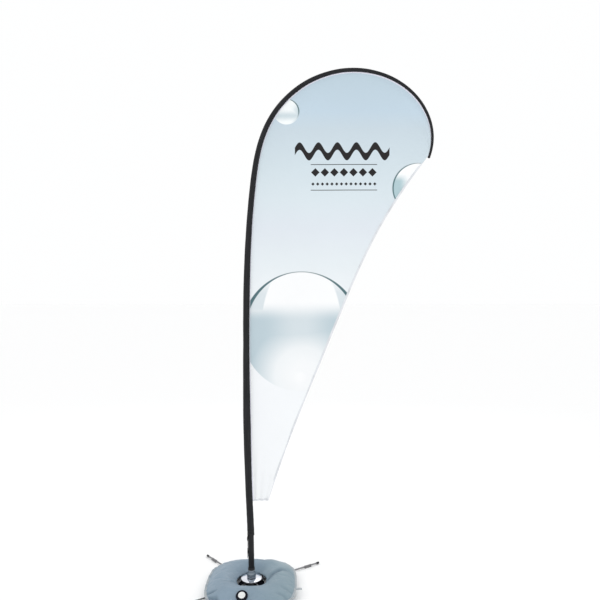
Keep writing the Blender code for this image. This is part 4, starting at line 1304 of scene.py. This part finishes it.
def water_ring():
    """The ring's skin: an even mesh over its section, swollen by the water, then puckered and creased."""
    bm = bmesh.new()
    angles = once_round(120)
    rings = []
    for share, height in BAG_SECTION:
        rings.append([bm.verts.new(bag_point(share, angle, height)) for angle in angles])
    for ring, following in zip(rings, rings[1:] + rings[:1]):
        for i in range(len(ring)):
            j = (i + 1) % len(ring)
            bm.faces.new((ring[i], ring[j], following[j], following[i]))
    bmesh.ops.recalc_face_normals(bm, faces=bm.faces)
    mesh = bpy.data.meshes.new("water_ring_skin")
    bm.to_mesh(mesh)
    bm.free()
    skin = added("water_ring_skin", mesh)
    remesh = skin.modifiers.new("even", "REMESH")
    remesh.mode = "VOXEL"
    remesh.voxel_size = 0.0055
    apply_modifiers(skin)
    ease = skin.modifiers.new("ease", "SMOOTH")
    ease.iterations = 3
    apply_modifiers(skin)
    for vert in skin.data.vertices:
        vert.co = seated(vert.co)
    swell(skin)
    for vert in skin.data.vertices:
        share, angle = bag_share(vert.co)
        top = vert.co.z > FLANGE_Z
        lift = puckers(share, angle, 1.0 if top else -1.0) - (crease_depth(vert.co) if top else 0.0)
        near_filler = (filler_place().inverted() @ vert.co).xy.length
        lift *= eased(near_filler, 0.030, 0.050) if top else 0.25
        vert.co = seated(vert.co + Vector((0.0, 0.0, lift if top else -lift)))
        vert.co.z = max(vert.co.z, BAG_FLOOR_Z)
    # Painted shade: each point keeps how much its colour darkens along the creases.
    crease_shade = skin.data.attributes.new("crease_shade", "FLOAT", "POINT")
    for vert in skin.data.vertices:
        crease_shade.data[vert.index].value = crease_shade_amount(vert.co)
    finer = skin.modifiers.new("finer", "SUBSURF")
    finer.levels = 1
    finer.render_levels = 1
    apply_modifiers(skin)
    settle(skin, "water_ring_skin", "water_ring", "coated_fabric", ("water_bag",), 80)


def ring_flange():
    """The welded edge outside the ring, slightly wavy, with a hanging tab at its right."""
    rings = []
    for share, lift in ((0.0, -0.0008), (0.0, 0.0008), (1.0, 0.0007), (1.0, -0.0007), (0.0, -0.0008)):
        ring = []
        for angle in once_round(220):
            reach = bag_outline(angle) - 0.004 + share * (FLANGE_WIDTH + 0.004)
            wave = 0.0016 * math.sin(23 * angle + 2.0 * math.sin(4 * angle)) * share
            wave += 0.0009 * math.sin(51 * angle) * share
            x = BAG_OUTER_CENTRE.x + reach * math.cos(angle)
            y = BAG_OUTER_CENTRE.y + reach * math.sin(angle)
            ring.append(Vector((x, y, FLANGE_Z + lift + wave)))
        rings.append(ring)
    bm = lofted(rings, [1.5] * len(rings), [0.0, 0.001, 0.012, 0.013, 0.024])
    bmesh.ops.remove_doubles(bm, verts=bm.verts, dist=0.00001)
    sewn("ring_welded_flange", bm, "water_ring", "welded_edge", ("bag_flange",), 50)
    tab = block((0.0260, 0.0180, 0.0016), (0.2410, -0.1050, FLANGE_Z + 0.0012), 0.0006, 2)
    drill(tab, 0.0032, (0.2470, -0.1050, FLANGE_Z), 28)
    settle(tab, "ring_hanging_tab", "water_ring", "welded_edge", (), 35)


def filler():
    """The black neck flange, and the white screw cap with a grip bar in its recess."""
    neck = [
        (0.0, 0.0105), (0.0, 0.0277), (0.0050, 0.0277), (0.0072, 0.0268), (0.0084, 0.0250),
        (0.0085, 0.0200), (0.0078, 0.0180), (0.0070, 0.0173), (0.0014, 0.0173), (0.0014, 0.0105),
    ]
    piece = spun(rounded(neck, 0.0006), 96)
    piece.matrix_world = filler_place()
    settle(piece, "filler_neck_ring", "water_ring", "black_rubber", ("filler_neck",), 40)

    cap = [
        (0.0034, 0.0), (0.0034, 0.0166), (0.0086, 0.0168), (0.0096, 0.0160), (0.0098, 0.0146),
        (0.0096, 0.0138), (0.0074, 0.0126), (0.0070, 0.0),
    ]
    top = spun(rounded(cap, 0.0006), 96)
    bar = block((0.0240, 0.0040, 0.0030), (0.0, 0.0, 0.0080), 0.0009)
    hub = spun(rounded([(0.0064, 0.0), (0.0064, 0.0046), (0.0095, 0.0042), (0.0097, 0.0)], 0.0005), 40)
    top = join(top, bar, hub)
    top.matrix_world = filler_place() @ top.matrix_world
    settle(top, "filler_screw_cap", "cap", "white_plastic", ("filler_cap",), 35)


# ---------------------------------------------------------------- studio


FLAG_MIDDLE = Vector((0.3, 0.0, 1.2))


def studio():
    """A pale floor, a white surround, three soft lamps and the camera."""
    deselect()
    bpy.ops.mesh.primitive_plane_add(size=400.0)
    floor = bpy.context.object
    floor.name = "studio_floor"
    pale = Recipe("pale_floor", (0.99, 0.99, 0.99, 1.0), 0.9)
    floor.data.materials.append(pale.material)

    world = bpy.data.worlds.new("studio")
    bpy.context.scene.world = world
    world.use_nodes = True
    surround = world.node_tree.nodes["Background"]
    surround.inputs["Color"].default_value = (0.995, 0.998, 1.0, 1.0)
    surround.inputs["Strength"].default_value = 1.0

    lamps = (
        ("key", (-2.6, -3.4, 3.6), 2.2, 17.0),
        ("fill", (3.2, -2.6, 2.2), 2.2, 4.0),
        ("back", (0.6, 3.2, 3.2), 2.4, 12.0),
    )
    for name, place, size, power in lamps:
        light = bpy.data.lights.new(name, "AREA")
        light.size = size
        light.energy = power
        lamp = added(name, light)
        lamp.location = place
        lamp.rotation_euler = (FLAG_MIDDLE - Vector(place)).to_track_quat("-Z", "Y").to_euler()

    lens = bpy.data.cameras.new("camera")
    lens.lens = 33.6
    lens.sensor_width = 36.0
    camera = added("camera", lens)
    camera.location = (0.245, -2.828, 1.439)
    camera.rotation_euler = (math.pi / 2, 0.0, 0.0)
    bpy.context.scene.camera = camera
    bpy.context.scene.view_settings.view_transform = "Standard"


def build():
    """The camera and lamps first, then every piece from the flag down to the filler."""
    studio()
    dress_cad_nodes()
    sleeve, sleeve_flat, sleeve_area = pole_sleeve()
    cuff, cuff_thread = sleeve_cuff()
    pocket, pocket_thread = tip_pocket()
    seam = sleeve_stitching()
    cloth, cloth_flat, cloth_area = flag_cloth()
    hem, hem_thread = flag_hem()
    pole_fittings = (strap, strap_hook, strap_slider, bare_pole, pole_foot_rim)
    base_pieces = (spigot_collar, spigot_tube, cover_disc, rods, water_ring, ring_flange, filler)
    for make in pole_fittings + base_pieces:
        make()


build()
